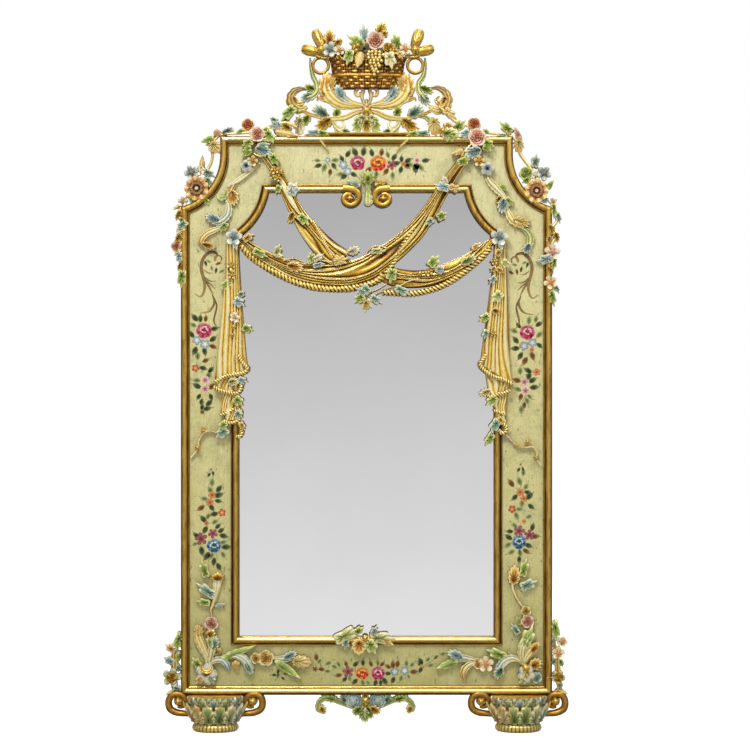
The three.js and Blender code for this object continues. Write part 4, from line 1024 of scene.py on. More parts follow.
SIDE_LEFT = plan("""
stem gilt 18: -524 1480 3, -532 1458 5, -522 1436 5, -533 1412 5, -521 1386 5, -532 1360 5, \
    -522 1335 4, -529 1308 4, -522 1282 3
frond gilt -522 1476 -538 1442 16
frond green -528 1454 -514 1430 14
ivy teal -508 1440 -534 1416 28 3
oval cream -508 1418 -534 1404 16
frond gilt -522 1408 -538 1380 18
frond gilt -536 1404 -516 1384 14
rose pink -537 1368 17 2
oval green -524 1356 -540 1344 12
ivy sky -530 1354 -528 1318 24
frond gilt -520 1330 -532 1300 13
ivy leaf -520 1302 -524 1248 32 3
""")
SIDE_RIGHT = plan("""
stem gilt 18: 524 1488 3, 530 1465 4, 538 1440 4, 524 1418 5, 534 1395 5, 522 1370 5, 528 1335 4, \
    518 1300 4, 526 1262 4, 524 1225 3
ivy green 528 1492 531 1448 20
ivy teal 538 1466 547 1434 20
frond gilt 512 1436 530 1402 22
frond gilt 532 1414 540 1380 18
frond tan 518 1404 514 1376 16
daisy whitepink 525 1352 23 4
ivy sky 526 1336 480 1326 34 4
ivy green 532 1340 528 1300 20
frond gilt 508 1316 526 1290 16
daisy orangewhite 520 1266 20 3
ivy teal 530 1264 544 1236 17
ivy leaf 520 1246 531 1198 26
""")
spray("side_garland_left", SIDE_LEFT, 33, 24)
spray("side_garland_right", SIDE_RIGHT, 33, 24)

ACANTHUS_LEFT = plan("""
stem cream 15: -302 1604 3, -330 1580 6, -360 1558 7, -392 1538 3
stem tan 16: -352 1560 2, -372 1544 6, -383 1526 10, -384 1506 11
fan orange -382 1530 -374 1482 42 2
stem leaf 14: -396 1522 3, -400 1508 7, -413 1504 8, -422 1516 3
stem creamblue 17: -398 1502 2, -390 1484 8, -391 1462 10, -404 1444 10, -424 1436 9, -442 1446 4
fan sky -412 1438 -456 1456 34 3
ivy green -396 1436 -412 1408 28 1
stem creamorange 16: -400 1426 3, -430 1414 8, -454 1402 9, -467 1384 9, -462 1368 5
fan orange -468 1376 -426 1364 24 2
""")
ACANTHUS_RIGHT = plan("""
stem cream 16: 338 1578 2, 346 1555 9, 364 1535 11, 384 1514 8, 396 1494 4
oval leaf 374 1544 398 1526 16 1
fan tan 382 1512 366 1490 20
fan sky 388 1506 382 1460 38 3
ivy green 392 1504 416 1482 28 1
stem creamorange 16: 396 1486 3, 401 1462 9, 413 1442 11, 436 1431 11, 458 1431 4
fan creamorange 408 1444 464 1430 38 3
stem creamgreen 15: 424 1424 3, 448 1414 8, 462 1396 10, 461 1374 9, 449 1356 3
fan sky 462 1378 446 1348 28 2
""")
spray("shoulder_acanthus_left", ACANTHUS_LEFT, FACE, 17, rim=0.5)
spray("shoulder_acanthus_right", ACANTHUS_RIGHT, FACE, 17, rim=0.5)

CORNER_LEFT = plan("""
cup shell -453 160 32
ivy orange -462 156 -480 134 26 4
ivy teal -446 158 -430 132 28 4
stem gilt 26: -466 190 3, -464 174 5, -450 167 6, -438 174 5, -436 184 2
ivy green -470 178 -492 206 30
stem creamorange 20: -447 188 6, -452 212 9, -463 236 12, -473 260 13, -475 282 11, -470 296 6
fan creamorange -470 264 -478 300 32 2
stem cream 20: -445 186 7, -441 212 9, -436 238 10, -434 260 7
fan teal -436 226 -424 268 34 3
ivy creamgreen -438 236 -448 272 24 5
frond gilt -452 262 -430 284 26 3
rose pink -438 303 20 4
stem tan 14: -436 318 3, -440 340 4, -432 362 4, -430 384 5
oval sky -430 350 -402 358 14
ivy green -442 360 -482 366 26
stem cream 17: -434 350 4, -428 380 8, -422 410 11, -420 434 14
fan gilt -420 420 -420 446 44 3
ivy teal -430 380 -482 418 34 2
ivy green -452 434 -466 484 30 1
stem creamblue 17: -446 186 6, -430 198 8, -410 200 9, -396 188 9, -388 170 5
oval leaf -412 202 -316 240 24 1
stem creamblue 19: -410 204 5, -382 214 9, -352 205 11, -333 184 12, -326 162 6
fan teal -344 196 -322 158 26 2
bud orange -369 187 12 3
bud orange -415 226 7
ivy tan -430 214 -410 236 16
rose goldrose -312 205 16 4
rose goldrose -284 206 23 6
stem creamblue 16: -262 204 5, -240 203 9, -218 208 11, -202 222 6
fan sky -236 204 -196 222 26 4
frond creamorange -216 198 -152 192 36 3
oval leaf -262 200 -186 148 26 1
""")
CORNER_RIGHT = plan("""
cup shell 452 160 26
bud gilt 450 176 14 5
fan orange 462 178 494 198 40 2
rose teal 480 150 16 2
ivy green 458 158 430 134 34 3
stem cream 20: 446 184 6, 438 210 10, 442 238 12, 456 264 11, 466 286 5
ivy green 444 236 470 298 44 4
stem creamorange 18: 444 190 6, 454 210 10, 470 230 12, 486 246 7
fan orange 462 220 488 250 26 4
ivy teal 430 272 408 304 24 1
rose pink 455 309 19 4
oval green 436 296 424 322 14
rose goldrose 450 338 15 3
stem tan 14: 452 324 3, 444 346 4, 428 368 4, 414 398 4, 412 418 3
frond orange 414 408 420 470 34 2
ivy teal 436 404 484 424 36 2
ivy green 440 436 452 488 30 1
stem cream 16: 442 190 5, 426 200 6, 404 198 7, 386 184 7, 374 164 3
fan teal 386 182 362 148 32 4
stem creamblue 18: 436 196 5, 414 206 8, 392 200 9, 374 180 9, 364 156 5
ivy green 392 208 336 230 34 1
daisy orangewhite 337 188 23 4
rose goldrose 316 190 16 3
stem creamblue 16: 312 198 5, 286 204 9, 262 208 11, 240 220 6
fan sky 274 204 228 224 34 4
stem creamorange 16: 304 192 5, 288 184 9, 275 168 10, 276 142 4
oval leaf 262 198 198 176 28 1
""")
spray("corner_acanthus_left", CORNER_LEFT, FACE, 18, rim=0.45)
spray("corner_acanthus_right", CORNER_RIGHT, FACE, 18, rim=0.45)

BASE_LEFT = plan("""
stem gilt 20: -524 268 3, -534 240 5, -546 212 6, -545 180 8, -546 140 9, -544 108 5
ivy green -524 274 -542 224 34
ivy orangewhite -540 222 -570 244 32 2
ivy sky -544 188 -574 206 30
oval green -530 226 -536 184 16
ivy teal -538 186 -524 164 20
daisy bluegold -551 149 27 3
rose gilt -551 149 17 12
oval white -532 160 -518 150 12 2
ivy teal -548 124 -524 112 24
oval cream -536 108 -566 104 18 2
""")
BASE_RIGHT = plan("""
stem gilt 20: 524 300 3, 534 276 5, 530 246 6, 538 214 6, 540 176 8, 544 140 8, 546 106 5
ivy green 530 308 540 250 32
ivy sky 536 262 514 242 24
daisy orangewhite 554 250 15 2
daisy orangewhite 542 218 19 3
ivy teal 536 204 522 184 20
ivy green 544 204 556 178 20
daisy bluegold 543 150 20 2
rose gilt 543 150 15 10
oval white 530 150 514 150 12 2
ivy teal 542 138 552 118 22
oval creamorange 532 110 566 106 22 2
""")
spray("base_garland_left", BASE_LEFT, 28, 22)
spray("base_garland_right", BASE_RIGHT, 28, 22)

SILL_LEAVES = plan("""
ivy creamgreen -86 256 -12 292 42 3
ivy green -34 276 -8 292 26 6
ivy teal -56 262 -62 230 26
frond orange -20 264 -22 214 40 4
ivy green 4 256 26 218 42 4
ivy creamgreen 12 262 82 260 42 3
ivy sky 18 272 28 296 24 5
oval orange 40 256 74 244 20 2
bud gilt -4 262 9 8
""")
spray("sill_leaves", SILL_LEAVES, 42, 18)

TONGUE = plan("""
fan leaf 4 1540 4 1582 44 3
fan green 4 1544 4 1572 26 8
stem creamgreen 24: 4 1560 6, 4 1545 8, 4 1525 8, 4 1505 12, 4 1490 12, 4 1482 6
oval teal -14 1538 -52 1552 20
oval gilt 20 1540 56 1552 20
""")
spray("top_tongue", TONGUE, 40, 20)

for node, x, y, radius in (("swag_blossom_left", -374, 1393, 24), ("swag_blossom_right", 374, 1393, 25)):
    spray(node, [("daisy", "whiteblue", x, y, radius), ("oval", "sky", x, y - 6, x + 8, y - 34, 18, -2)], 56, 20)


# ---------- carved cloth, ropes and drapes ----------


def resampled(points, gap, steps=8):
    """Points at even gaps along a smooth curve."""
    line = smooth(points, steps)
    far = np.concatenate([[0], np.cumsum(np.linalg.norm(np.diff(line[:, :2], axis=0), axis=1))])
    stops = np.linspace(0, far[-1], max(4, int(far[-1] / gap)) + 1)
    return np.stack([np.interp(stops, far, line[:, i]) for i in range(line.shape[1])], axis=1), stops


def swag(line, folds, out, thick, seed, gap=7.0, front=52, back=8):
    """Gathered cloth carved in the solid: ridges run along it and gather towards its ends."""
    points, far = resampled(line, gap)
    across = normals_2d(points)
    wide = points[:, 2].max()
    rings, relief = [], []
    for (x, y, half), (nx, ny), s in zip(points, across, far / far[-1]):
        height = thick * (0.55 + 0.45 * half / wide)
        ring, lift = [], []
        for k in range(front):
            u = -1 + 2 * k / (front - 1)
            crown = max(0.0, 1 - abs(u) ** 2.8) ** 0.5
            drift = 0.16 * math.sin(5.2 * s + 2.3 * u + seed) + 0.07 * math.sin(11 * s - 4 * u + 2 * seed)
            phase = folds * (0.5 + 0.5 * u + drift * (1 - u * u))
            ridge = abs(math.sin(math.pi * phase)) ** 0.8
            strong = 0.74 + 0.26 * math.sin(3.1 * math.floor(phase) + seed)
            crease = 0.06 * math.sin(2 * math.pi * (2.7 * phase) + 3 * s)
            up = crown * (0.46 + 0.5 * ridge * strong + crease * ridge)
            ring.append(at(x + nx * half * u, y + ny * half * u, out + height * max(up, 0.02)))
            # painted light: painted highlight on the ridges and crown, painted shade in the folds, towards the edges
            # and behind
            lift.append(min(1, max(0, (1.3 * ridge**1.5 * strong + 0.05) * (0.3 + 0.7 * crown))))
        for k in range(back):
            u = 1 - 2 * (k + 0.5) / back
            ring.append(at(x + nx * half * u * 0.96, y + ny * half * u * 0.96, out))
            lift.append(0.1)
        rings.append(ring)
        relief.append(lift)
    return loft("cloth", rings, relief=relief)


def rope(line, half, out, strand=8.6, sides=14, thick=None, fringe=False):
    """A twisted cord along an edge, or a fringe of short strands across it."""
    length = sum(math.dist(a, b) for a, b in zip(line, line[1:]))
    points, far = resampled(line, max(strand / 6, length / 270))
    across = normals_2d(points)
    thick = thick or half
    rings, relief = [], []
    for i, ((x, y), (nx, ny), s) in enumerate(zip(points[:, :2], across, far)):
        end = min(1.0, 0.3 + 0.3 * min(i, len(points) - 1 - i))
        ring, lift = [], []
        for k in range(sides):
            turn = 2 * math.pi * k / sides
            if fringe:
                twist, deep, fall = math.cos(math.pi * (s / strand + 0.5 * math.cos(turn))), 0.5, 1.5
            else:
                twist, deep, fall = math.cos(turn - math.pi * s / strand), 0.3, 1
            twist = abs(twist)
            full = (1.04 - deep + deep * twist**0.8) * end
            c, r = half * full * math.cos(turn), math.sin(turn)
            ring.append(at(x + nx * c, y + ny * c, out + thick + thick * full * r))
            # painted light: painted highlight on the strands' crests and front-facing side, painted shade between them
            lift.append(min(1, max(0, 1.2 * twist**fall - 0.1)) * (0.5 + 0.5 * max(0, r)))
        rings.append(ring)
        relief.append(lift)
    return loft("rope", rings, relief=relief)


def pleats(left, right, folds, out, thick, seed, rows=26, front=56, back=6):
    """Cloth that hangs: its pleats run down between two edges to a slanting hem."""
    span = np.linspace(0, 1, rows)
    sides = []
    for edge in (left, right):
        line = smooth(edge, 6)
        where = np.linspace(0, 1, len(line))
        sides.append(np.stack([np.interp(span, where, line[:, i]) for i in range(2)], axis=1))
    rings, relief = [], []
    for s, a, b in zip(span, *sides):
        ring, lift = [], []
        for k in range(front):
            u = k / (front - 1)
            x, y = a + (b - a) * u
            crown = max(0.0, 1 - abs(2 * u - 1) ** 7) ** 0.5
            phase = folds * u + 0.5 * math.sin(2.6 * s + 5.2 * u + seed) + 0.14 * math.sin(9 * s + seed)
            ridge = abs(math.sin(math.pi * phase)) ** 0.7
            strong = 0.7 + 0.3 * math.sin(2.3 * math.floor(phase) + seed)
            up = crown * (0.4 + 0.58 * ridge * strong)
            ring.append(at(x, y, out + thick * max(up, 0.03)))
            # painted light: painted highlight on the pleat ridges, painted shade in the valleys, and hem adds painted
            # shade towards the drape's edges
            hem = 0.66 + 0.34 * min(1, min(u, 1 - u) / 0.16)
            lift.append(min(1, max(0, (1.05 * ridge * strong + 0.36) * (0.4 + 0.6 * crown) * hem)))
        for k in range(back):
            x, y = a + (b - a) * (1 - (k + 0.5) / back)
            ring.append(at(x, y, out))
            lift.append(0.1)
        rings.append(ring)
        relief.append(lift)
    return loft("drape", rings, relief=relief)


def gild(parts):
    """Cloth and ropes join painted leaves in one piece, so they carry the same attributes."""
    for part in parts:
        mesh = part.data
        mesh.attributes.new("share", "FLOAT", "POINT")
        tint(mesh, "gilt", gilt=1.0)
        part.data.materials.append(CLOTH_GOLD)
    return parts


def festoon(node, cloth, items, out, rise):
    leaves = carve(items, out, rise, 0.4)
    for leaf in leaves:
        leaf.data.materials.append(CARVED)
    return join(node + "_carved", gild(cloth) + leaves, CLOTH_GOLD, [node])


FRONT_LINE = [
    (-356, 1388, 10), (-330, 1366, 15), (-300, 1346, 18), (-260, 1324, 21), (-205, 1301, 25),
    (-150, 1291, 29), (-100, 1288, 31), (-50, 1292, 34), (0, 1307, 35), (42, 1332, 34),
    (90, 1367, 30), (138, 1412, 27), (178, 1466, 22), (208, 1515, 19), (240, 1565, 16),
    (266, 1602, 14), (292, 1642, 11),
]
FRONT_FRINGE = [
    (-357, 1374), (-330, 1342), (-283, 1308), (-240, 1285), (-200, 1267), (-150, 1253), (-100, 1248),
    (-50, 1249), (-5, 1258), (28, 1270), (52, 1288), (70, 1312), (86, 1342), (104, 1372), (120, 1400), (136, 1426),
]
BACK_UPPER = [
    (-302, 1640, 11), (-268, 1600, 14), (-242, 1558, 16), (-223, 1518, 18), (-204, 1478, 20),
    (-178, 1436, 25), (-146, 1394, 30), (-108, 1354, 34), (-66, 1326, 34),
]
BACK_LOWER = [
    (40, 1296, 20), (70, 1284, 26), (100, 1278, 26), (142, 1276, 25), (190, 1283, 25), (236, 1300, 24),
    (285, 1327, 20), (325, 1357, 15), (356, 1386, 10),
]
BACK_FRINGE = [
    (42, 1238), (80, 1237), (120, 1234), (160, 1240), (200, 1251), (240, 1270), (280, 1298),
    (322, 1333), (352, 1366),
]
festoon(
    "back_swag_upper",
    [
        swag(BACK_UPPER, 5, 39, 22, 1.3),
        rope([(-152, 1440), (-136, 1412), (-118, 1380), (-104, 1350), (-92, 1326)], 5, 48, 6),
    ],
    plan("""
ivy sky -214 1514 -196 1548 38
ivy white -222 1540 -188 1526 30 2
ivy green -244 1540 -256 1516 24
fan tan -204 1466 -220 1434 28
ivy green -190 1456 -162 1428 34 3
daisy gilt -258 1582 12 6
daisy tan -268 1568 10 6
daisy gilt -250 1560 11 6
bud gilt -240 1578 8 6
ivy creamorange -92 1336 -56 1318 30 8
fan white -56 1350 -22 1358 26 4
"""),
    50,
    16,
)
festoon(
    "back_swag_lower",
    [swag(BACK_LOWER, 5, 39, 21, 4.1), rope(BACK_FRINGE, 9.5, 39, 11, fringe=True)],
    plan("""
stem tan 6: 4 1222 1.8, 36 1236 1.8, 62 1250 1.8, 92 1256 1.8, 116 1268 1.8, 146 1277 1.8
ivy teal 82 1252 126 1230 28
ivy green 178 1312 204 1342 36 2
ivy sky 196 1306 222 1294 28 4
daisy gilt 176 1295 12 2
bud gilt 150 1290 7 2
fan creamgreen 266 1318 312 1340 30 2
oval orange 296 1358 320 1376 18 2
"""),
    52,
    15,
)
festoon(
    "front_swag",
    [
        swag(FRONT_LINE, 6, 44, 27, 0.4, front=76),
        rope(FRONT_FRINGE[:11], 10, 42, 11, fringe=True),
        rope(FRONT_FRINGE[10:], 8, 44, 10, fringe=True),
    ],
    plan("""
ivy orange -346 1384 -318 1402 24
ivy green -318 1356 -276 1336 26 2
ivy creamgreen -256 1340 -244 1374 26
oval cream -262 1346 -238 1340 18
stem tan 8: -236 1326 2, -205 1334 2.4, -172 1322 2.4, -140 1328 2.4, -96 1324 2
fan orange -226 1314 -176 1304 34 2
ivy green -148 1322 -160 1350 30 2
ivy white -150 1326 -120 1346 22 4
ivy sky -150 1312 -116 1318 18 4
ivy creamorange -92 1322 -48 1334 30 6
fan white -54 1348 -18 1362 28 2
stem tan 10: -6 1342 2, 12 1362 2.2, 34 1369 2.2, 58 1362 2
ivy creamgreen 14 1354 54 1354 22 2
ivy green 74 1304 66 1262 38 2
ivy green 200 1446 226 1462 30 2
ivy teal 188 1444 166 1428 24 2
ivy sky 232 1530 190 1542 32 2
ivy creamorange 234 1536 266 1524 28 2
ivy white 226 1544 214 1566 20 2
ivy teal 8 1236 -16 1262 30 2
ivy sky -2 1232 -30 1250 24 4
ivy green -8 1230 -34 1208 32 2
ivy tan 0 1218 -4 1182 26
oval cream 4 1222 14 1196 14 2
ivy teal 12 1226 44 1206 28 2
stem tan 9: 0 1226 2, 14 1240 2.4, 30 1246 2.2, 56 1262 2
"""),
    58,
    16,
)

LEFT_CLOTH = [
    pleats(
        [(-398, 1374), (-400, 1300), (-407, 1200), (-418, 1100), (-424, 1040), (-430, 984)],
        [(-362, 1374), (-358, 1300), (-353, 1220), (-346, 1130), (-341, 1070), (-335, 1022)],
        6, 41, 27, 0.9,
    ),
    pleats([(-426, 1004), (-429, 984), (-432, 968)], [(-346, 1016), (-350, 984), (-358, 950)], 5, 39, 22, 2.2, rows=10),
    pleats([(-404, 966), (-410, 930), (-414, 892)], [(-362, 962), (-366, 934), (-374, 908)], 4, 39, 18, 3.4, rows=12),
    pleats([(-398, 908), (-402, 886), (-404, 874)], [(-356, 920), (-354, 900), (-356, 880)], 4, 39, 20, 1.9, rows=8),
    rope([(-362, 1062), (-350, 1040), (-336, 1024), (-344, 1012), (-366, 1007), (-398, 1001), (-430, 984)], 6, 58, 7.5),
    rope([(-432, 972), (-416, 963), (-396, 957), (-372, 953), (-359, 958), (-353, 976), (-352, 1000)], 6, 54, 7.5),
    rope([(-414, 892), (-400, 896), (-386, 902), (-373, 912)], 5, 48, 7.5),
    rope([(-404, 878), (-390, 870), (-372, 872), (-360, 880), (-354, 898), (-360, 910)], 5, 52, 7.5),
    rope([(-362, 872), (-354, 858), (-352, 842), (-358, 830), (-368, 834)], 6, 48, 7.5),
]
LEFT_LEAVES = plan("""
stem tan 12: -400 846 4, -421 841 3.5, -440 846 3, -458 842 3.5, -474 818 3, -476 797 3, -496 772 2
bud gilt -461 847 7
bud gilt -478 800 7
oval gilt -456 846 -466 858 9
oval gilt -476 804 -470 786 9
ivy green -384 1270 -412 1246 32 4
daisy gilt -381 1312 12 16
daisy gilt -379 1286 11 16
oval creamorange -388 1300 -372 1296 12 16
ivy sky -372 1218 -344 1200 34 14
ivy teal -360 1226 -346 1240 22 14
daisy whitepink -371 1167 15 16
ivy cream -378 1178 -358 1152 24 14
ivy green -350 1140 -320 1130 30 10
bud gilt -375 1140 8 16
bud gilt -378 1118 7 16
fan cream -392 984 -358 988 30 14
ivy sky -362 994 -336 984 26 14
ivy green -372 942 -350 918 34 10
ivy teal -370 902 -350 884 28 10
ivy green -396 872 -416 850 28 8
ivy teal -392 852 -426 828 34 8
ivy orange -356 872 -344 850 18 10
""")
festoon("drape_left", LEFT_CLOTH, LEFT_LEAVES, 42, 16)

RIGHT_CLOTH = [
    pleats(
        [(362, 1374), (355, 1300), (344, 1205), (331, 1110), (326, 1070), (321, 1036)],
        [(395, 1374), (397, 1290), (401, 1200), (404, 1100), (407, 1030), (414, 978)],
        6, 41, 27, 2.6,
    ),
    pleats([(334, 1026), (340, 984), (346, 940)], [(408, 996), (408, 976), (406, 958)], 5, 39, 22, 0.7, rows=10),
    pleats([(352, 954), (356, 930), (360, 904)], [(400, 960), (398, 926), (396, 894)], 4, 39, 18, 1.4, rows=12),
    pleats([(362, 910), (366, 890), (370, 872)], [(394, 900), (396, 880), (394, 866)], 3, 39, 18, 3.0, rows=8),
    rope([(338, 1064), (328, 1048), (321, 1034), (332, 1018), (358, 1001), (388, 991), (414, 977)], 6, 58, 7.5),
    rope([(408, 962), (390, 955), (370, 950), (350, 942), (343, 950)], 6, 54, 7.5),
    rope([(358, 906), (374, 900), (396, 894)], 5, 48, 7.5),
    rope([(368, 880), (384, 868), (394, 858), (392, 844), (380, 842), (374, 852)], 6, 50, 7.5),
]
RIGHT_LEAVES = plan("""
stem tan 12: 388 842 4, 404 826 3.5, 424 805 3, 447 800 3, 470 801 3, 482 784 3, 480 768 2.6, 494 748 2
oval gilt 450 804 458 826 10
bud gilt 424 806 6
bud gilt 480 770 6
ivy orange 366 1340 380 1362 22 16
daisy gilt 360 1325 10 16
ivy tan 364 1310 350 1296 20 16
ivy orange 366 1306 386 1292 20 16
ivy creamgreen 384 1330 402 1306 28 8
ivy sky 364 1282 346 1262 24 14
ivy creamgreen 380 1238 354 1210 38 14
fan orange 352 1190 376 1180 24 14
ivy green 346 1174 318 1156 30 10
ivy teal 340 1132 332 1106 24 10
daisy gilt 358 1120 9 16
fan cream 352 962 318 948 26 10
ivy green 366 944 338 918 34 10
ivy teal 372 878 350 842 34 8
ivy green 356 838 336 804 28 4
ivy orange 372 886 388 866 18 10
""")
festoon("drape_right", RIGHT_CLOTH, RIGHT_LEAVES, 42, 16)


# ---------- the inner head moulding, with its volutes ----------


def head_moulding(node, side, ways):
    """The straight length, mitred at the corner, and the curl at its end."""
    line = [(side * CORNER, HEAD), (side * 62, HEAD)]
    plain = Vector((0, -1))
    turn = [ways, plain]
    if side < 0:
        line, turn = line[::-1], turn[::-1]
    straight = run_moulding(node + "_gilt", line, turn, INNER_PROFILE, -1, node)
    curl = [
        (66, 1531.5, 11.5), (50, 1531, 11.8), (36, 1528, 11.5), (26, 1519, 10.5), (22.5, 1506, 9.5),
        (28, 1493, 8.8), (40, 1485.5, 8.4), (54, 1487, 8.2), (64, 1496, 8), (64, 1508, 7.6),
        (55, 1516, 7), (44, 1515, 6.2),
    ]
    volute = stem(curl, FACE, 17, sides=18, steps=6, side=side, grooves=0)
    eye = MODELS["bud"].copy()
    eye.transform(Matrix.Translation(at(side * 47, 1502, FACE + 2)) @ Matrix.Rotation(math.radians(90), 4, "X")
                  @ Matrix.Diagonal((0.0125, 0.0125, 0.018, 1)))
    eye = bpy.data.objects.new("eye", eye)
    bpy.context.scene.collection.objects.link(eye)
    dull(volute, 0.72)
    for part in (volute, eye):
        part.data.materials.append(MOULDING)
    pick(straight)
    volute.select_set(True)
    eye.select_set(True)
    bpy.ops.object.join()
    pick(straight)
    bpy.ops.object.shade_smooth_by_angle(angle=math.radians(50))


head_moulding("inner_moulding_top_right", 1, inner_ways["head"][0])
head_moulding("inner_moulding_top_left", -1, inner_ways["head"][1])


# ---------- crest ----------


# The second value is painted light: painted highlight in the middle of each berry, painted shade at its edge.
def berry_height(s, angle):
    return 0.15 + 0.85 * math.sqrt(max(0.0, 1 - s * s)), 1 - 0.9 * s**3


rosette("berry", petals(4, 0.0), berry_height, 12, (0.1, 0.4, 0.7, 0.9, 1.0))


def rail(x0, x1, y0, y1, out, front):
    """A fillet rail with a bead along its upper edge."""
    profile = [(0, 0), (0, 0.5), (0.16, 0.55), (0.3, 0.78), (0.5, 0.95), (0.72, 1.0), (0.9, 0.92), (1, 0.7), (1, 0)]
    rings, relief, share, along = [], [], [], []
    for t in np.linspace(0, 1, 16):
        x = x0 + (x1 - x0) * t
        rings.append([at(x, y0 + (y1 - y0) * v, out + (front - out) * w) for v, w in profile])
        # painted light: brighter towards the top of the rail and on its bead, painted shade below
        relief.append([w * (0.3 + 0.7 * v) for v, w in profile])
        share.append([0.9 if w == 1.0 else 0.3 for v, w in profile])
        along.append([t] * len(profile))
    body = loft("rail", rings, relief=relief, share=share, along=along)
    tint(body.data, "gilt", gilt=1.0, by="along")
    return body


CREST_BASE = plan("""
stem cream 22: 0 1788 4, 0 1772 7, 0 1752 9, 0 1735 7
bud gilt 0 1754 15 10
stem gilt 28: -17 1753 4, 0 1750 6, 17 1753 4
fan green -12 1744 -32 1690 40 2
fan green 12 1744 32 1690 40 2
frond creamgreen -8 1748 -18 1704 30 5
frond creamgreen 8 1748 18 1704 30 5
frond tan 0 1736 0 1683 30 7
oval cream -13 1748 -15 1722 17 9
oval cream 13 1748 15 1722 17 9
bud shade -14 1733 4.5 13
bud shade 15 1733 4.5 13
""")
spray("crest_base", CREST_BASE, 14, 20, extra=[rail(-112, 132, 1680, 1693, 12, 42)])


# What both sides of the crest share, out from the middle
CREST_SIDE = """
stem gold 24: 2 1766 3, 10 1782 5, 13 1798 5.5, 9 1812 5.5, 20 1819 5.5, 31 1809 5.5, 27 1797 5, \
    18 1799 4, 18 1807 3
stem creamorange 20: 5 1770 4, 22 1774 6, 42 1780 6.5, 56 1793 3
stem honey 26: 8 1768 4, 42 1767 8, 78 1775 14, 104 1796 18, 114 1822 16, 110 1844 10, 105 1862 3
fan orange 122 1790 110 1866 46 3
fan creamorange 108 1800 92 1856 30 5
stem gold 18: 96 1780 3, 118 1784 6, 136 1790 4, 140 1782 2
stem bluecream 26: 30 1774 4, 54 1780 9, 72 1796 14, 80 1814 13, 74 1830 5
fan sky 66 1786 86 1826 34 8
stem honey 22: 4 1757 4, 32 1749 7, 62 1736 8, 100 1732 6, 140 1738 5, 182 1754 5
stem cream 20: 96 1733 4, 88 1712 7, 74 1703 7.5, 64 1713 5, 68 1725 3
stem creamblue 20: 90 1728 3, 86 1706 7, 72 1694 9, 56 1690 9, 50 1700 4
fan teal 70 1702 48 1686 24 3
"""
CREST_LEFT = plan(CREST_SIDE, -1) + plan("""
stem creamgreen 24: -160 1904 2.5, -158 1880 5, -152 1852 7, -142 1830 8, -142 1808 9, -158 1794 9, \
    -178 1790 5
fan teal -148 1802 -186 1784 32 4
fan green -142 1812 -176 1824 26 3
stem tan 26: -164 1814 2, -186 1816 6, -206 1807 10, -215 1787 12, -207 1767 13, -188 1757 11, \
    -168 1766 5
frond orange -214 1800 -196 1762 26 5
stem gilt 24: -206 1788 2.5, -200 1777 5, -187 1773 6, -176 1780 3
fan teal -108 1736 -152 1766 40 3
fan green -88 1734 -80 1762 26 2
fan gilt -98 1734 -144 1700 40 2
fan green -160 1744 -188 1708 30 3
frond cream -187 1744 -192 1680 32 4
ivy sky -132 1692 -176 1684 30 14
ivy leaf -138 1692 -106 1682 26 16
stem gilt 40: -134 1672 4, -121 1656 4, -112 1644 3.4, -106 1632 2
fan creamgreen -206 1766 -240 1712 26 2
""")
CREST_RIGHT = plan(CREST_SIDE) + plan("""
stem creamgreen 24: 166 1904 2.5, 166 1880 5, 160 1852 7, 148 1832 8, 150 1808 9, 162 1792 9, 174 1776 5
fan teal 150 1804 178 1770 32 4
fan green 146 1822 190 1806 28 3
stem tan 26: 176 1816 2, 200 1819 6, 222 1807 10, 231 1784 12, 220 1762 13, 198 1756 11, 178 1768 5
frond orange 228 1800 212 1760 26 5
stem gilt 24: 206 1796 2.5, 198 1784 5, 206 1774 6, 218 1780 3
fan teal 118 1736 160 1766 40 3
fan green 82 1738 94 1764 26 2
fan gilt 98 1734 148 1692 40 2
stem green 20: 146 1738 3, 166 1736 6, 182 1722 7, 184 1700 4
frond creamorange 188 1740 198 1680 34 4
ivy teal 176 1690 134 1682 28 14
ivy green 146 1690 112 1680 24 16
stem gilt 40: 122 1674 4, 106 1660 4, 94 1648 3.4, 85 1634 2
daisy gilt 222 1752 10 2
""")
spray("crest_scroll_left", CREST_LEFT, 14, 20, rim=0.55)
spray("crest_scroll_right", CREST_RIGHT, 14, 20, rim=0.55)

# ---------- basket and bouquet ----------

BASKET_MIDDLE = 3


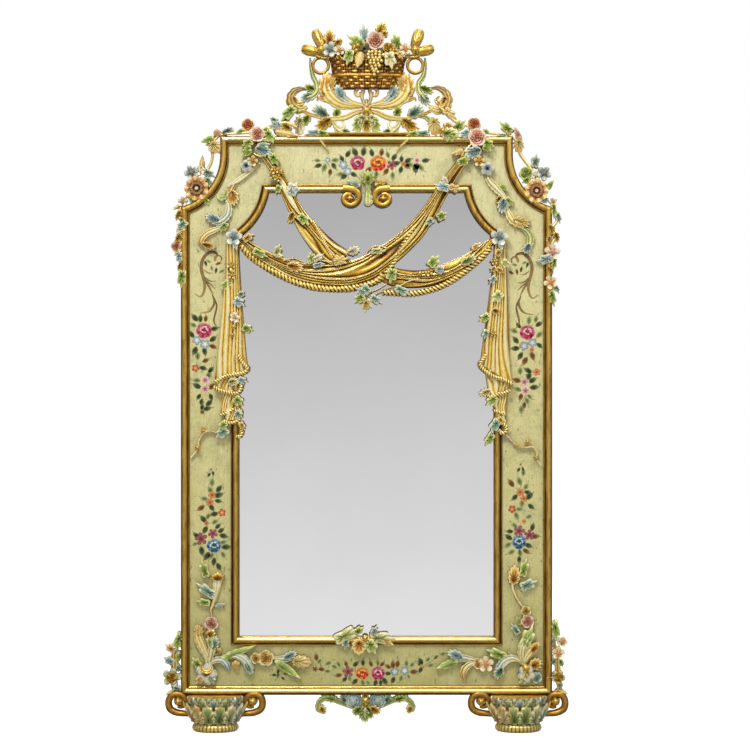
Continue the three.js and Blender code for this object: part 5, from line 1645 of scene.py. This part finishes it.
def basket_body():
    """Two woven tiers, the upper flaring over a plaited ledge, flat behind."""
    tiers = [(1815, 80), (1818, 84), (1832, 89), (1845, 94), (1847, 97), (1850, 104), (1856, 105), (1859, 101),
             (1880, 104), (1896, 108), (1899, 111), (1904, 111), (1907, 107)]
    heights = np.arange(1815, 1907.5, 1.15)
    rows, halves = zip(*tiers)
    front, back = 150, 10
    rings, relief = [], []
    for y in heights:
        half = float(np.interp(y, rows, halves))
        roll = 1847.5 < y < 1857
        plait = y > 1897
        ring, lift = [], []
        for k in range(front):
            u = -1 + 2 * k / (front - 1)
            turn = math.asin(max(-1, min(1, u)))
            round_ = math.cos(turn) ** 0.7 if abs(u) < 1 else 0
            across, up = (turn + math.pi / 2) * 5.4, (y - 1815) / 8.6
            if roll:
                weave = 0.5 + 0.4 * math.sin(math.pi * (y - 1847.5) / 9.5)
            elif plait:
                weave = abs(math.sin(math.pi * (across * 1.3 + (y - 1846) / 12))) ** 0.7
            elif (int(across) + int(up)) % 2:
                weave = abs(math.sin(math.pi * up)) ** 0.3 * abs(math.sin(math.pi * across)) ** 0.25
            else:
                weave = 0.62 * abs(math.sin(2 * math.pi * across)) ** 0.5 * abs(math.sin(math.pi * up)) ** 0.12
            ring.append(at(BASKET_MIDDLE + half * u + 1.2 * weave * u, y, 13 + 38 * round_ + 3.2 * weave * round_))
            # painted light: painted highlight on the raised strands, painted shade between them and behind
            lift.append(weave * 0.72)
        for k in range(back):
            u = 1 - 2 * (k + 0.5) / back
            ring.append(at(BASKET_MIDDLE + half * u * 0.98, y, 12))
            lift.append(0.2)
        rings.append(ring)
        relief.append(lift)
    return loft("basket", rings, relief=relief)


def basket_ring(x, y, radius, half):
    turns = [(x + radius * math.sin(t), y + radius * math.cos(t), half) for t in np.linspace(0, 2 * math.pi, 15)]
    return stem(turns, 22, 2 * half, sides=12, steps=4)


handles = [basket_ring(-130, 1882, 22, 4.6), basket_ring(138, 1882, 22, 4.6)]
for handle in handles:
    handle.data.attributes.remove(handle.data.attributes["share"])
    handle.data.attributes.remove(handle.data.attributes["along"])
    dull(handle, 0.62)
join("basket_woven", [basket_body(), *handles], CARVED_GOLD, ["basket"])

BOUQUET = plan("""
tulip gilt -120 1920 -146 1984 32 4
tulip gilt -122 1914 -183 1931 32 10
bud gilt -128 1924 12 16
stem gilt 24: -160 1925 5, -136 1910 6, -118 1906 6, -100 1908 5
tulip gilt 130 1920 153 1985 32 4
tulip gilt 132 1914 190 1932 32 10
bud gilt 138 1924 12 16
stem gilt 24: 168 1926 5, 146 1912 6, 128 1908 6, 108 1908 5
stem shade 20: -96 1903 8, -60 1908 14, 0 1916 18, 60 1912 14, 102 1903 8
frond orange -106 1936 -104 1986 28 4
daisy whiteblue -103 1925 22 18
frond gilt -94 1936 -68 1954 18 12
daisy orangewhite -76 1921 15 22
ivy green -46 1922 -56 1878 36 34
oval creamorange -14 1918 -26 1872 30 38
ivy green -8 1932 -54 1966 40 14
ivy leaf -10 1930 -26 1958 24 18
ivy sky -4 1950 -10 2000 30 6
bud gilt -34 1930 8 24
bud gilt -24 1934 8 26
bud gilt -28 1920 8 28
rose pink 26 1950 27 22
frond gilt 28 1964 54 2004 26 12
frond gilt 34 1958 62 1976 20 14
oval shade -2 1948 8 1914 14 22
rose gilt 62 1928 16 24
daisy gilt 76 1920 12 26
ivy green 92 1930 76 1972 34 8
daisy orangewhite 110 1926 17 18
ivy cream 62 1914 72 1866 42 38
ivy creamorange 88 1918 102 1896 22 30
oval shade 30 1930 44 1912 16 26
""")
GRAPES = []
BUNCH = (22, 24, 22, 20, 17, 14, 11, 8, 5)  # half the bunch's width, from its top row down
for row, half in enumerate(BUNCH):
    y = 1914 - 8 * row
    count = max(1, round(2 * half / 10.6))
    for k in range(count):
        x = 24 + (k - (count - 1) / 2) * 10.4 + (2 if row % 2 else -2)
        GRAPES.append(("berry", "gilt", x + dice.uniform(-1, 1), y + dice.uniform(-1, 1), 6.2, 34 + dice.uniform(-2, 4)))
spray("basket_bouquet", BOUQUET + GRAPES, 18, 20, rim=0.4)

# ---------- apron ----------

APRON = plan("""
bud gilt -3 85 13 10
stem gilt 22: -20 100 3, -17 84 5, -10 72 6, -3 68 7, 4 72 6, 11 84 5, 14 100 3
frond gilt -3 88 -3 106 18 8
stem blue 22: -38 64 4, -22 74 7, -22 92 7, -40 99 7, -54 88 7, -50 70 6, -36 68 4
stem blue 22: 33 64 4, 17 74 7, 17 92 7, 34 99 7, 48 88 7, 44 70 6, 31 68 4
bud sky -38 83 11 6
bud sky 33 83 11 6
stem moss 22: -20 58 3, -44 66 6, -72 78 8, -100 88 8, -122 88 8, -136 74 7, -136 58 7, -120 48 4
stem moss 22: 14 58 3, 38 66 6, 66 80 8, 92 90 8, 112 88 8, 128 74 7, 130 60 7, 118 50 4
frond green -80 84 -128 98 24 4
frond green 74 84 118 98 24 4
frond teal -56 74 -72 102 22 3
frond teal 50 76 68 102 22 3
frond tan -132 72 -118 46 20 4
frond tan 128 74 118 48 20 4
fan green -12 68 -38 44 32 4
fan orange 8 68 38 48 30 4
fan moss -4 72 -14 28 30 6
fan moss 0 72 14 32 28 6
fan green -4 66 -4 22 30 9
oval cream -4 68 -4 38 12 14
""")
spray("apron_shell", APRON, 26, 20, rim=0.35)


# ---------- feet ----------


def paint_by(mesh, colour_at, gilt_at):
    """Tints a turned piece by where it is."""
    count = len(mesh.vertices)
    rgba, gilt = np.ones((count, 4)), np.zeros(count)
    for i, vertex in enumerate(mesh.vertices):
        rgba[i, :3] = colour_at(vertex.co)
        gilt[i] = gilt_at(vertex.co)
    mesh.attributes.new("paint", "FLOAT_COLOR", "POINT").data.foreach_set("color", rgba.ravel())
    mesh.attributes.new("gilt", "FLOAT", "POINT").data.foreach_set("value", gilt)


FOOT_SHAPE = [
    (0, 59), (2, 61.5), (5, 63.5), (9, 64.5), (14, 63.8), (18, 62), (21, 60.5), (24, 58), (27, 54.5), (31, 53),
    (38, 54.5), (46, 58.5), (54, 63), (62, 67.5), (70, 72), (78, 76.5), (86, 80), (92, 81), (97, 79), (100, 74),
]
FOOT_PAINT = [linear(c) for c in ("A06A26", "B07A34", "8C8A4A", "55702A", "4F6A24", "6E8C6C", "5F8492", "A88F50")]
FOOT_OUT = 42


def foot_radius(height):
    levels, radii = zip(*FOOT_SHAPE)
    return float(np.interp(height, levels, radii))


def foot(node, axis):
    around = 144
    rings, relief, share = [], [], []
    for height in np.concatenate([np.arange(0, 30, 1.5), np.arange(30, 101, 2.5)]):
        radius = foot_radius(height)
        ring, lift = [], []
        for k in range(around):
            turn = 2 * math.pi * k / around
            if height < 20:
                bead = abs(math.sin(18 * turn)) ** 0.8
                swell = 1 + 0.022 * bead * (1 if 3 < height < 18 else 0)
                light = 0.25 + 0.75 * bead
            else:
                flute = abs(math.cos(15 * turn + 0.3 * math.sin(height / 9)))
                swell = 1 + 0.012 * flute * min(1, (height - 20) / 14)
                light = 0.45 + 0.5 * flute
            x = axis + radius * swell * math.sin(turn)
            out = max(0.5, FOOT_OUT + radius * swell * 0.85 * math.cos(turn))
            ring.append(at(x, height, out))
            # light is painted light: painted highlight on the beads and flutes, painted shade between them
            lift.append(light)
        rings.append(ring)
        relief.append(lift)
        share.append([0.5] * around)
    body = loft("foot", rings, relief=relief, share=share)

    def colour_at(spot):
        turn = math.atan2(spot.x / MM - axis, (WALL - spot.y / MM) - FOOT_OUT)
        wash = 0.5 + 0.5 * math.sin(9 * turn)
        level = (turn + 1.7) / 3.4 * (len(FOOT_PAINT) - 1)
        first = int(max(0, min(len(FOOT_PAINT) - 2, math.floor(level))))
        t = min(1, max(0, level - first))
        a, b = FOOT_PAINT[first], FOOT_PAINT[first + 1]
        return [(p + (q - p) * t) * (0.36 + 0.3 * wash) for p, q in zip(a, b)]

    paint_by(body.data, colour_at, lambda spot: 1.0 if spot.z < 0.0205 or spot.z > 0.098 else 0.0)
    parts = [body]
    rows = [
        (58, 102, 9, 34, 0.0, ["gold", "leaf", "teal", "green", "teal", "green", "sky", "leaf", "orange"], 7),
        (24, 86, 8, 40, 0.5, ["tan", "orange", "creamorange", "green", "leaf", "creamgreen", "teal", "tan"], 13),
    ]
    for low, high, count, width, shift, paints, flare in rows:
        for k in range(count):
            turn = math.radians(-96 + (k + shift) * 192 / (count - (0 if shift else 1)))
            if abs(turn) > math.radians(97):
                continue
            way = Vector((math.sin(turn), -0.85 * math.cos(turn), 0))
            start = at(axis, low, FOOT_OUT) + way * (foot_radius(low) - 5) * MM
            tip = at(axis, high, FOOT_OUT) + way * (foot_radius(high) - 4 + flare) * MM
            if WALL - tip.y / MM < 4:
                continue
            parts.append(petal("frond", paints[k % len(paints)], start, tip, width, way.normalized(), 11))
    spiral = [
        (50, 46, 5), (68, 45, 7), (88, 47, 8.5), (110, 50, 9.5), (128, 60, 10), (133, 78, 10), (127, 95, 10),
        (112, 103, 10), (94, 99, 9.5), (85, 86, 8.5), (87, 73, 7.5), (97, 66, 6), (108, 67, 5),
    ]
    for side in (-1, 1):
        turned = [(axis + side * x, y, half) for x, y, half in spiral]
        arm = stem(turned, 24, 30, sides=16, steps=6, grooves=0)
        arm.data.materials.append(CARVED_GOLD)
        dull(arm, 0.6)
        tint(arm.data, "gilt", gilt=1.0, by="along")
        shoot = [(62, 62, 6), (78, 70, 6), (92, 70, 5), (100, 62, 3)]
        upper = stem([(axis + side * x, y, half) for x, y, half in shoot], 26, 24, sides=12, grooves=0)
        tint(upper.data, "tan", gilt=0.7, by="along")
        parts += [arm, upper, bloom("bud", "gilt", axis + side * 105, 82, 14, 26, 34, gilt=1.0)]
    return join(node + "_carved", parts, CARVED, [node])


def petal(model, paint, start, tip, width, outward, rise):
    """A leaf that stands against a round body."""
    mesh = MODELS[model].copy()
    tint(mesh, paint, 0.4, shade=0.6)
    y_axis = tip - start
    middle = start + y_axis * 0.23
    x_axis = y_axis.cross(outward).normalized() * (width / 2 / 0.45) * MM
    y_axis = y_axis / 1.3
    z_axis = x_axis.cross(y_axis).normalized() * rise * MM
    if z_axis.dot(outward) < 0:
        z_axis, x_axis = -z_axis, -x_axis
    return set_down("petal", mesh, x_axis, y_axis, z_axis, middle)


foot("foot_left", -427)
foot("foot_right", 429)


# ---------- painting on the boards ----------


def flat_petal(s, angle):
    return 1.0, 0.75 + 0.25 * math.cos(angle) * s


DAB = [(0, 1.0), (25, 0.66), (60, 0.44), (110, 0.38), (150, 0.5), (180, 0.7)]
rosette("dab", lobed(DAB), flat_petal, 16, (0.2, 0.6, 1.0))
rosette("star", petals(5, 0.62), open_height(5), spokes=40)


def dab(paint, start, tip, width, over=0.0):
    mesh = MODELS["dab"].copy()
    way = Vector((tip[0] - start[0], tip[1] - start[1]))
    length = way.length
    way.normalize()
    tint(mesh, paint)
    x_axis = Vector((way.y, 0, -way.x)) * (width / 2 / 0.46) * MM
    y_axis = Vector((way.x, 0, way.y)) * (length / 1.7) * MM
    z_axis = Vector((0, -1, 0)) * 0.4 * MM
    spot = at(start[0] + way.x * length * 0.41, start[1] + way.y * length * 0.41, FACE - 0.05 + over)
    return set_down("dab", mesh, x_axis, y_axis, z_axis, spot)


def painted_spray(name, blooms, leaves, size=21):
    """Each leaf leans away from the bloom nearest to it, and a thin line ties it to that bloom."""
    parts = []
    for model, paint, x, y, radius in blooms:
        parts.append(bloom(model, paint, x, y, radius, FACE - 0.05, 0.75))
        for k in range(21 if model == "rose" else 0):
            turn = 2 * math.pi * k / 7 + dice.uniform(-0.3, 0.3) + (0.5, 0.0, 0.9)[k // 7]
            far, reach, wide = ((0.86, 0.62, 0.42), (0.56, 0.5, 0.26), (0.28, 0.34, 0.2))[k // 7]
            far *= dice.uniform(0.88, 1.12)
            lit_side = math.cos(turn + 0.6 + (math.pi if k > 13 else 0)) > (0.25, -0.1, 0.2)[k // 7]
            ends = [
                (x + radius * f * math.sin(t), y + radius * f * math.cos(t))
                for f, t in ((far * 0.86, turn), (far * 1.08, turn + reach / far))
            ]
            shade = paint + ("_light" if lit_side and k > 6 else "_deep" if not lit_side else "")
            parts.append(dab(shade, *ends, radius * wide, 0.7 + 0.05 * (k // 7)))
    for x, y in leaves:
        near = min(blooms, key=lambda b: math.hypot(b[2] - x, b[3] - y))
        way = Vector((x - near[2], y - near[3])).normalized()
        way.rotate(Matrix.Rotation(dice.uniform(-0.35, 0.35), 2))
        long = 1.32 * size * dice.uniform(0.75, 1.05)
        start = (x - way.x * long / 2, y - way.y * long / 2)
        tip = (x + way.x * long / 2, y + way.y * long / 2)
        paint = dice.choice(["inkgreen", "inkgreen", "inkgreen", "olive", "olive", "bark"])
        parts.append(dab(paint, start, tip, long * 0.64))
        parts.append(dab("olive", start, (tip[0] - way.x * 6, tip[1] - way.y * 6), 1.5))
        parts.append(dab("olive", (near[2] + way.x * near[4] * 0.6, near[3] + way.y * near[4] * 0.6), start, 1.6))
        curl = Vector((-way.y, way.x)) * dice.choice([-4, 4])
        parts.append(dab("inkgreen", tip, (tip[0] + way.x * 5 + curl.x, tip[1] + way.y * 5 + curl.y), 1.6))
    return join(name, parts, PETALS, [])


painted_spray(
    "painted_flowers_top",
    plan("""
rose magenta -25 1605 21
rose flame 33 1604 23
daisy azure -66 1600 13
daisy azure -53 1581 12
daisy azure -110 1613 8
star crimson 71 1599 14
daisy blush 143 1612 10
daisy amber 104 1602 7
"""),
    [
        (-52, 1631), (-33, 1636), (-8, 1638), (15, 1634), (43, 1636), (60, 1629), (79, 1622), (99, 1617), (118, 1612),
        (-87, 1613), (-70, 1618), (-137, 1597), (-120, 1590), (-103, 1578), (-75, 1573), (-36, 1572), (5, 1582),
        (28, 1571), (55, 1580), (74, 1568), (97, 1585), (114, 1596), (138, 1588), (154, 1591), (168, 1612),
        (-92, 1596), (-140, 1612), (86, 1604), (-64, 1566), (124, 1600), (142, 1598),
    ],
)
painted_spray(
    "painted_flowers_upper_left",
    plan("""
rose magenta -460 1130 22
daisy azure -480 1103 13
daisy azure -457 1092 14
daisy scarlet -484 1024 11
star blush -457 990 13
star blush -457 965 13
bud bark -465 900 6
"""),
    [
        (-486, 1167), (-455, 1165), (-491, 1147), (-434, 1107), (-430, 1136), (-486, 1073), (-458, 1071), (-455, 1046),
        (-462, 1024), (-440, 1020), (-482, 990), (-480, 974), (-436, 973), (-475, 943), (-467, 930), (-440, 942),
        (-445, 926), (-450, 910), (-470, 1165), (-495, 1120), (-478, 1060), (-434, 1085), (-465, 915), (-446, 1005),
    ],
    20,
)
painted_spray(
    "painted_flowers_upper_right",
    plan("""
rose magenta 455 1125 21
daisy azure 446 1087 13
daisy azure 470 1096 13
daisy amber 482 1013 11
star blush 447 985 13
star blush 450 960 13
daisy amber 468 1076 7
"""),
    [
        (480, 1164), (460, 1161), (488, 1149), (417, 1130), (490, 1120), (422, 1104), (421, 1080), (490, 1088),
        (435, 1058), (470, 1058), (448, 1044), (435, 1018), (456, 1018), (460, 1003), (425, 990), (475, 970),
        (427, 965), (462, 943), (455, 930), (436, 942), (430, 1145), (438, 905), (446, 918), (470, 990),
    ],
    20,
)
painted_spray(
    "painted_flowers_left",
    plan("""
daisy amber -437 665 11
daisy amber -443 644 11
daisy scarlet -409 615 11
star crimson -468 541 18
star crimson -435 556 14
rose deepblue -431 521 20
daisy amber -453 585 7
"""),
    [
        (-417, 683), (-443, 680), (-418, 665), (-460, 655), (-419, 648), (-469, 628), (-438, 629), (-432, 611),
        (-448, 606), (-462, 597), (-420, 577), (-457, 566), (-404, 549), (-411, 565), (-486, 526), (-466, 506),
        (-397, 518), (-405, 495), (-452, 492), (-432, 476), (-418, 462), (-483, 552), (-437, 703), (-428, 590),
        (-440, 492), (-404, 532),
    ],
    21,
)
painted_spray(
    "painted_flowers_right",
    plan("""
daisy amber 435 673 11
daisy amber 445 655 10
daisy scarlet 412 625 11
star crimson 432 563 16
star crimson 461 552 15
rose deepblue 432 532 20
daisy amber 446 590 7
"""),
    [
        (409, 699), (432, 706), (456, 673), (419, 658), (461, 662), (433, 625), (466, 632), (461, 605), (402, 546),
        (405, 562), (399, 523), (459, 522), (409, 503), (435, 500), (432, 482), (452, 690), (425, 605), (440, 640),
        (470, 575), (418, 580), (478, 548), (452, 506), (444, 730),
    ],
    21,
)
painted_spray(
    "painted_flowers_bottom",
    plan("""
star crimson -52 165 16
rose flame -12 161 18
rose magenta 33 161 19
daisy azure 80 165 12
daisy azure 108 168 12
star crimson -145 172 8
daisy amber 160 178 5
"""),
    [
        (-142, 207), (-132, 196), (-126, 172), (-108, 167), (-80, 155), (-92, 180), (-80, 188), (-58, 188),
        (-30, 187), (-10, 191), (12, 188), (32, 191), (45, 187), (60, 180), (-62, 143), (-47, 145), (-33, 137),
        (-10, 133), (5, 133), (25, 133), (40, 133), (52, 138), (75, 141), (97, 145), (120, 150), (135, 165),
        (88, 188), (75, 186), (113, 190), (130, 186), (153, 195), (175, 201), (198, 208), (218, 216), (183, 184),
        (-107, 190), (60, 160), (153, 170), (148, 187),
    ],
    18,
)
painted_spray(
    "painted_sprigs",
    plan("""
bud inkgreen -250 156 4
bud umber -440 738 3
bud umber 436 752 3
"""),
    [(-250, 166), (-252, 150), (-262, 156), (-236, 146), (-228, 158), (-446, 722), (-434, 726), (430, 736), (442, 738)],
    13,
)


def painted_scroll(name, side, dy):
    """A brushed scroll with leaves inside it and feathered strokes below."""
    lines = [
        [(412, 1326, 1.5), (410, 1336, 2), (418, 1343, 2.4), (428, 1339, 2.6), (429, 1328, 2.4), (422, 1340, 1.5)],
        [(428, 1334, 2), (424, 1348, 3.4), (437, 1353, 4), (452, 1347, 4.6), (464, 1330, 5), (468, 1308, 5),
         (463, 1284, 4.6), (458, 1262, 4.2), (459, 1244, 3.6), (466, 1229, 3), (474, 1227, 2.2), (486, 1235, 1.4)],
        [(464, 1288, 1.4), (452, 1276, 2.2), (440, 1270, 2), (426, 1270, 1)],
        [(462, 1280, 1.6), (450, 1262, 3), (440, 1244, 2.6), (434, 1232, 1.4)],
        [(458, 1276, 1.2), (440, 1260, 1.8), (428, 1248, 1)],
        [(437, 1232, 1.4), (430, 1214, 3.6), (436, 1196, 3.4), (448, 1184, 2.6), (472, 1180, 1.2)],
        [(430, 1222, 1.2), (424, 1198, 2.6), (432, 1160, 2.4), (424, 1142, 1.2), (414, 1140, 1)],
        [(460, 1302, 1.2), (448, 1294, 1.6), (436, 1292, 1)],
    ]
    parts = []
    for k, line in enumerate(lines):
        body = stem([(x, y + dy, 0.95 * half) for x, y, half in line], FACE - 0.1, 0.9, sides=8, side=side)
        tint(body.data, "umber" if k % 2 else "bark" if k > 3 else "umber", by="along")
        parts.append(body)
    for x, y, turn in [
        (448, 1327, 60), (438, 1308, 10), (420, 1320, 110), (426, 1300, 170), (410, 1298, 120), (455, 1320, 200),
    ]:
        way = Vector((math.sin(math.radians(turn)), math.cos(math.radians(turn)))) * 9
        start, tip = (side * (x - way.x), y + dy - way.y), (side * (x + way.x), y + dy + way.y)
        parts.append(dab(dice.choice(["inkgreen", "olive", "inkgreen", "bark"]), start, tip, 9))
    join(name, parts, PETALS, [])


painted_scroll("painted_scroll_left", -1, 0)
painted_scroll("painted_scroll_right", 1, -4)


# ---------- floor, lights and sky ----------

clear()
bpy.ops.mesh.primitive_plane_add(size=1, location=(0, 0, 0))
floor = bpy.context.object
floor.name = "floor"
floor.scale = (14, 14, 1)
bpy.ops.object.transform_apply(location=True, rotation=True, scale=True)
ground = Finish("pale_floor", 0.8)
ground.shader.inputs["Base Color"].default_value = (0.86, 0.86, 0.86, 1)
ground.shader.inputs["Specular IOR Level"].default_value = 0.1
seen = ground.add("LightPath").outputs["Is Camera Ray"]
ground.shader.inputs["Emission Color"].default_value = (1, 1, 1, 1)
ground.set(ground.shader.inputs["Emission Strength"], ground.math("MULTIPLY", seen, 0.62))
floor.data.materials.append(ground.material)
floor.visible_glossy = False


def lamp(name, spot, aim, size, power, colour=(1, 1, 1)):
    data = bpy.data.lights.new(name, "AREA")
    data.shape = "DISK"
    data.size = size
    data.energy = power
    data.color = colour
    light = bpy.data.objects.new(name, data)
    bpy.context.scene.collection.objects.link(light)
    light.location = spot
    light.rotation_euler = (Vector(aim) - Vector(spot)).to_track_quat("-Z", "Y").to_euler()


lamp("key", (-0.9, -3.0, 4.3), (0, 0, 1.1), 1.4, 118, (1.0, 0.98, 0.94))
lamp("rim", (1.9, -1.6, 2.9), (0, 0, 1.2), 1.0, 16, (1.0, 0.99, 0.97))
lamp("back", (0.6, 3.2, 3.0), (0, 0, 1.0), 2.0, 60)

world = bpy.data.worlds.new("studio")
world.use_nodes = True
bpy.context.scene.world = world
sky = world.node_tree
sky.nodes.clear()
rays = sky.nodes.new("ShaderNodeLightPath")
place = sky.nodes.new("ShaderNodeTexCoord")
split = sky.nodes.new("ShaderNodeSeparateXYZ")
sky.links.new(place.outputs["Generated"], split.inputs[0])
height = sky.nodes.new("ShaderNodeMapRange")
height.inputs["From Min"].default_value = -1
height.inputs["From Max"].default_value = 1
sky.links.new(split.outputs["Z"], height.inputs["Value"])
gradient = sky.nodes.new("ShaderNodeValToRGB")
room = [(-1.0, 0.08), (-0.4, 0.18), (-0.2, 0.8), (-0.123, 0.84), (0.086, 0.47), (0.2, 0.42), (0.5, 1.3), (1.0, 2.0)]
while len(gradient.color_ramp.elements) < len(room):
    gradient.color_ramp.elements.new(0.5)
for element, (rise, level) in zip(gradient.color_ramp.elements, room):
    element.position = (rise + 1) / 2
    element.color = (level, level, level, 1)
sky.links.new(height.outputs["Result"], gradient.inputs["Fac"])


sideways = sky.nodes.new("ShaderNodeMath")
sideways.operation = "ABSOLUTE"
sky.links.new(split.outputs["X"], sideways.inputs[0])
walls = sky.nodes.new("ShaderNodeValToRGB")
walls.color_ramp.elements[0].position = 0.22
walls.color_ramp.elements[0].color = (1, 1, 1, 1)
walls.color_ramp.elements[1].position = 0.62
walls.color_ramp.elements[1].color = (0.34, 0.34, 0.34, 1)
sky.links.new(sideways.outputs[0], walls.inputs["Fac"])
around = sky.nodes.new("ShaderNodeMix")
around.data_type = "RGBA"
around.blend_type = "MULTIPLY"
around.inputs[0].default_value = 1
sky.links.new(gradient.outputs["Color"], around.inputs[6])
sky.links.new(walls.outputs["Color"], around.inputs[7])


def backdrop(colour, strength):
    made = sky.nodes.new("ShaderNodeBackground")
    if isinstance(colour, tuple):
        made.inputs["Color"].default_value = colour
    else:
        sky.links.new(colour, made.inputs["Color"])
    made.inputs["Strength"].default_value = strength
    return made.outputs[0]


def choose(factor, a, b):
    made = sky.nodes.new("ShaderNodeMixShader")
    sky.links.new(factor, made.inputs[0])
    sky.links.new(a, made.inputs[1])
    sky.links.new(b, made.inputs[2])
    return made.outputs[0]


soft = backdrop((1, 1, 1, 1), 0.44)
shiny = backdrop(around.outputs[2], 1.0)
white = backdrop((1, 1, 1, 1), 1.0)
lit = choose(rays.outputs["Is Glossy Ray"], soft, shiny)
lit = choose(rays.outputs["Is Camera Ray"], lit, white)
output = sky.nodes.new("ShaderNodeOutputWorld")
sky.links.new(lit, output.inputs["Surface"])
bpy.context.scene.view_settings.view_transform = "Standard"
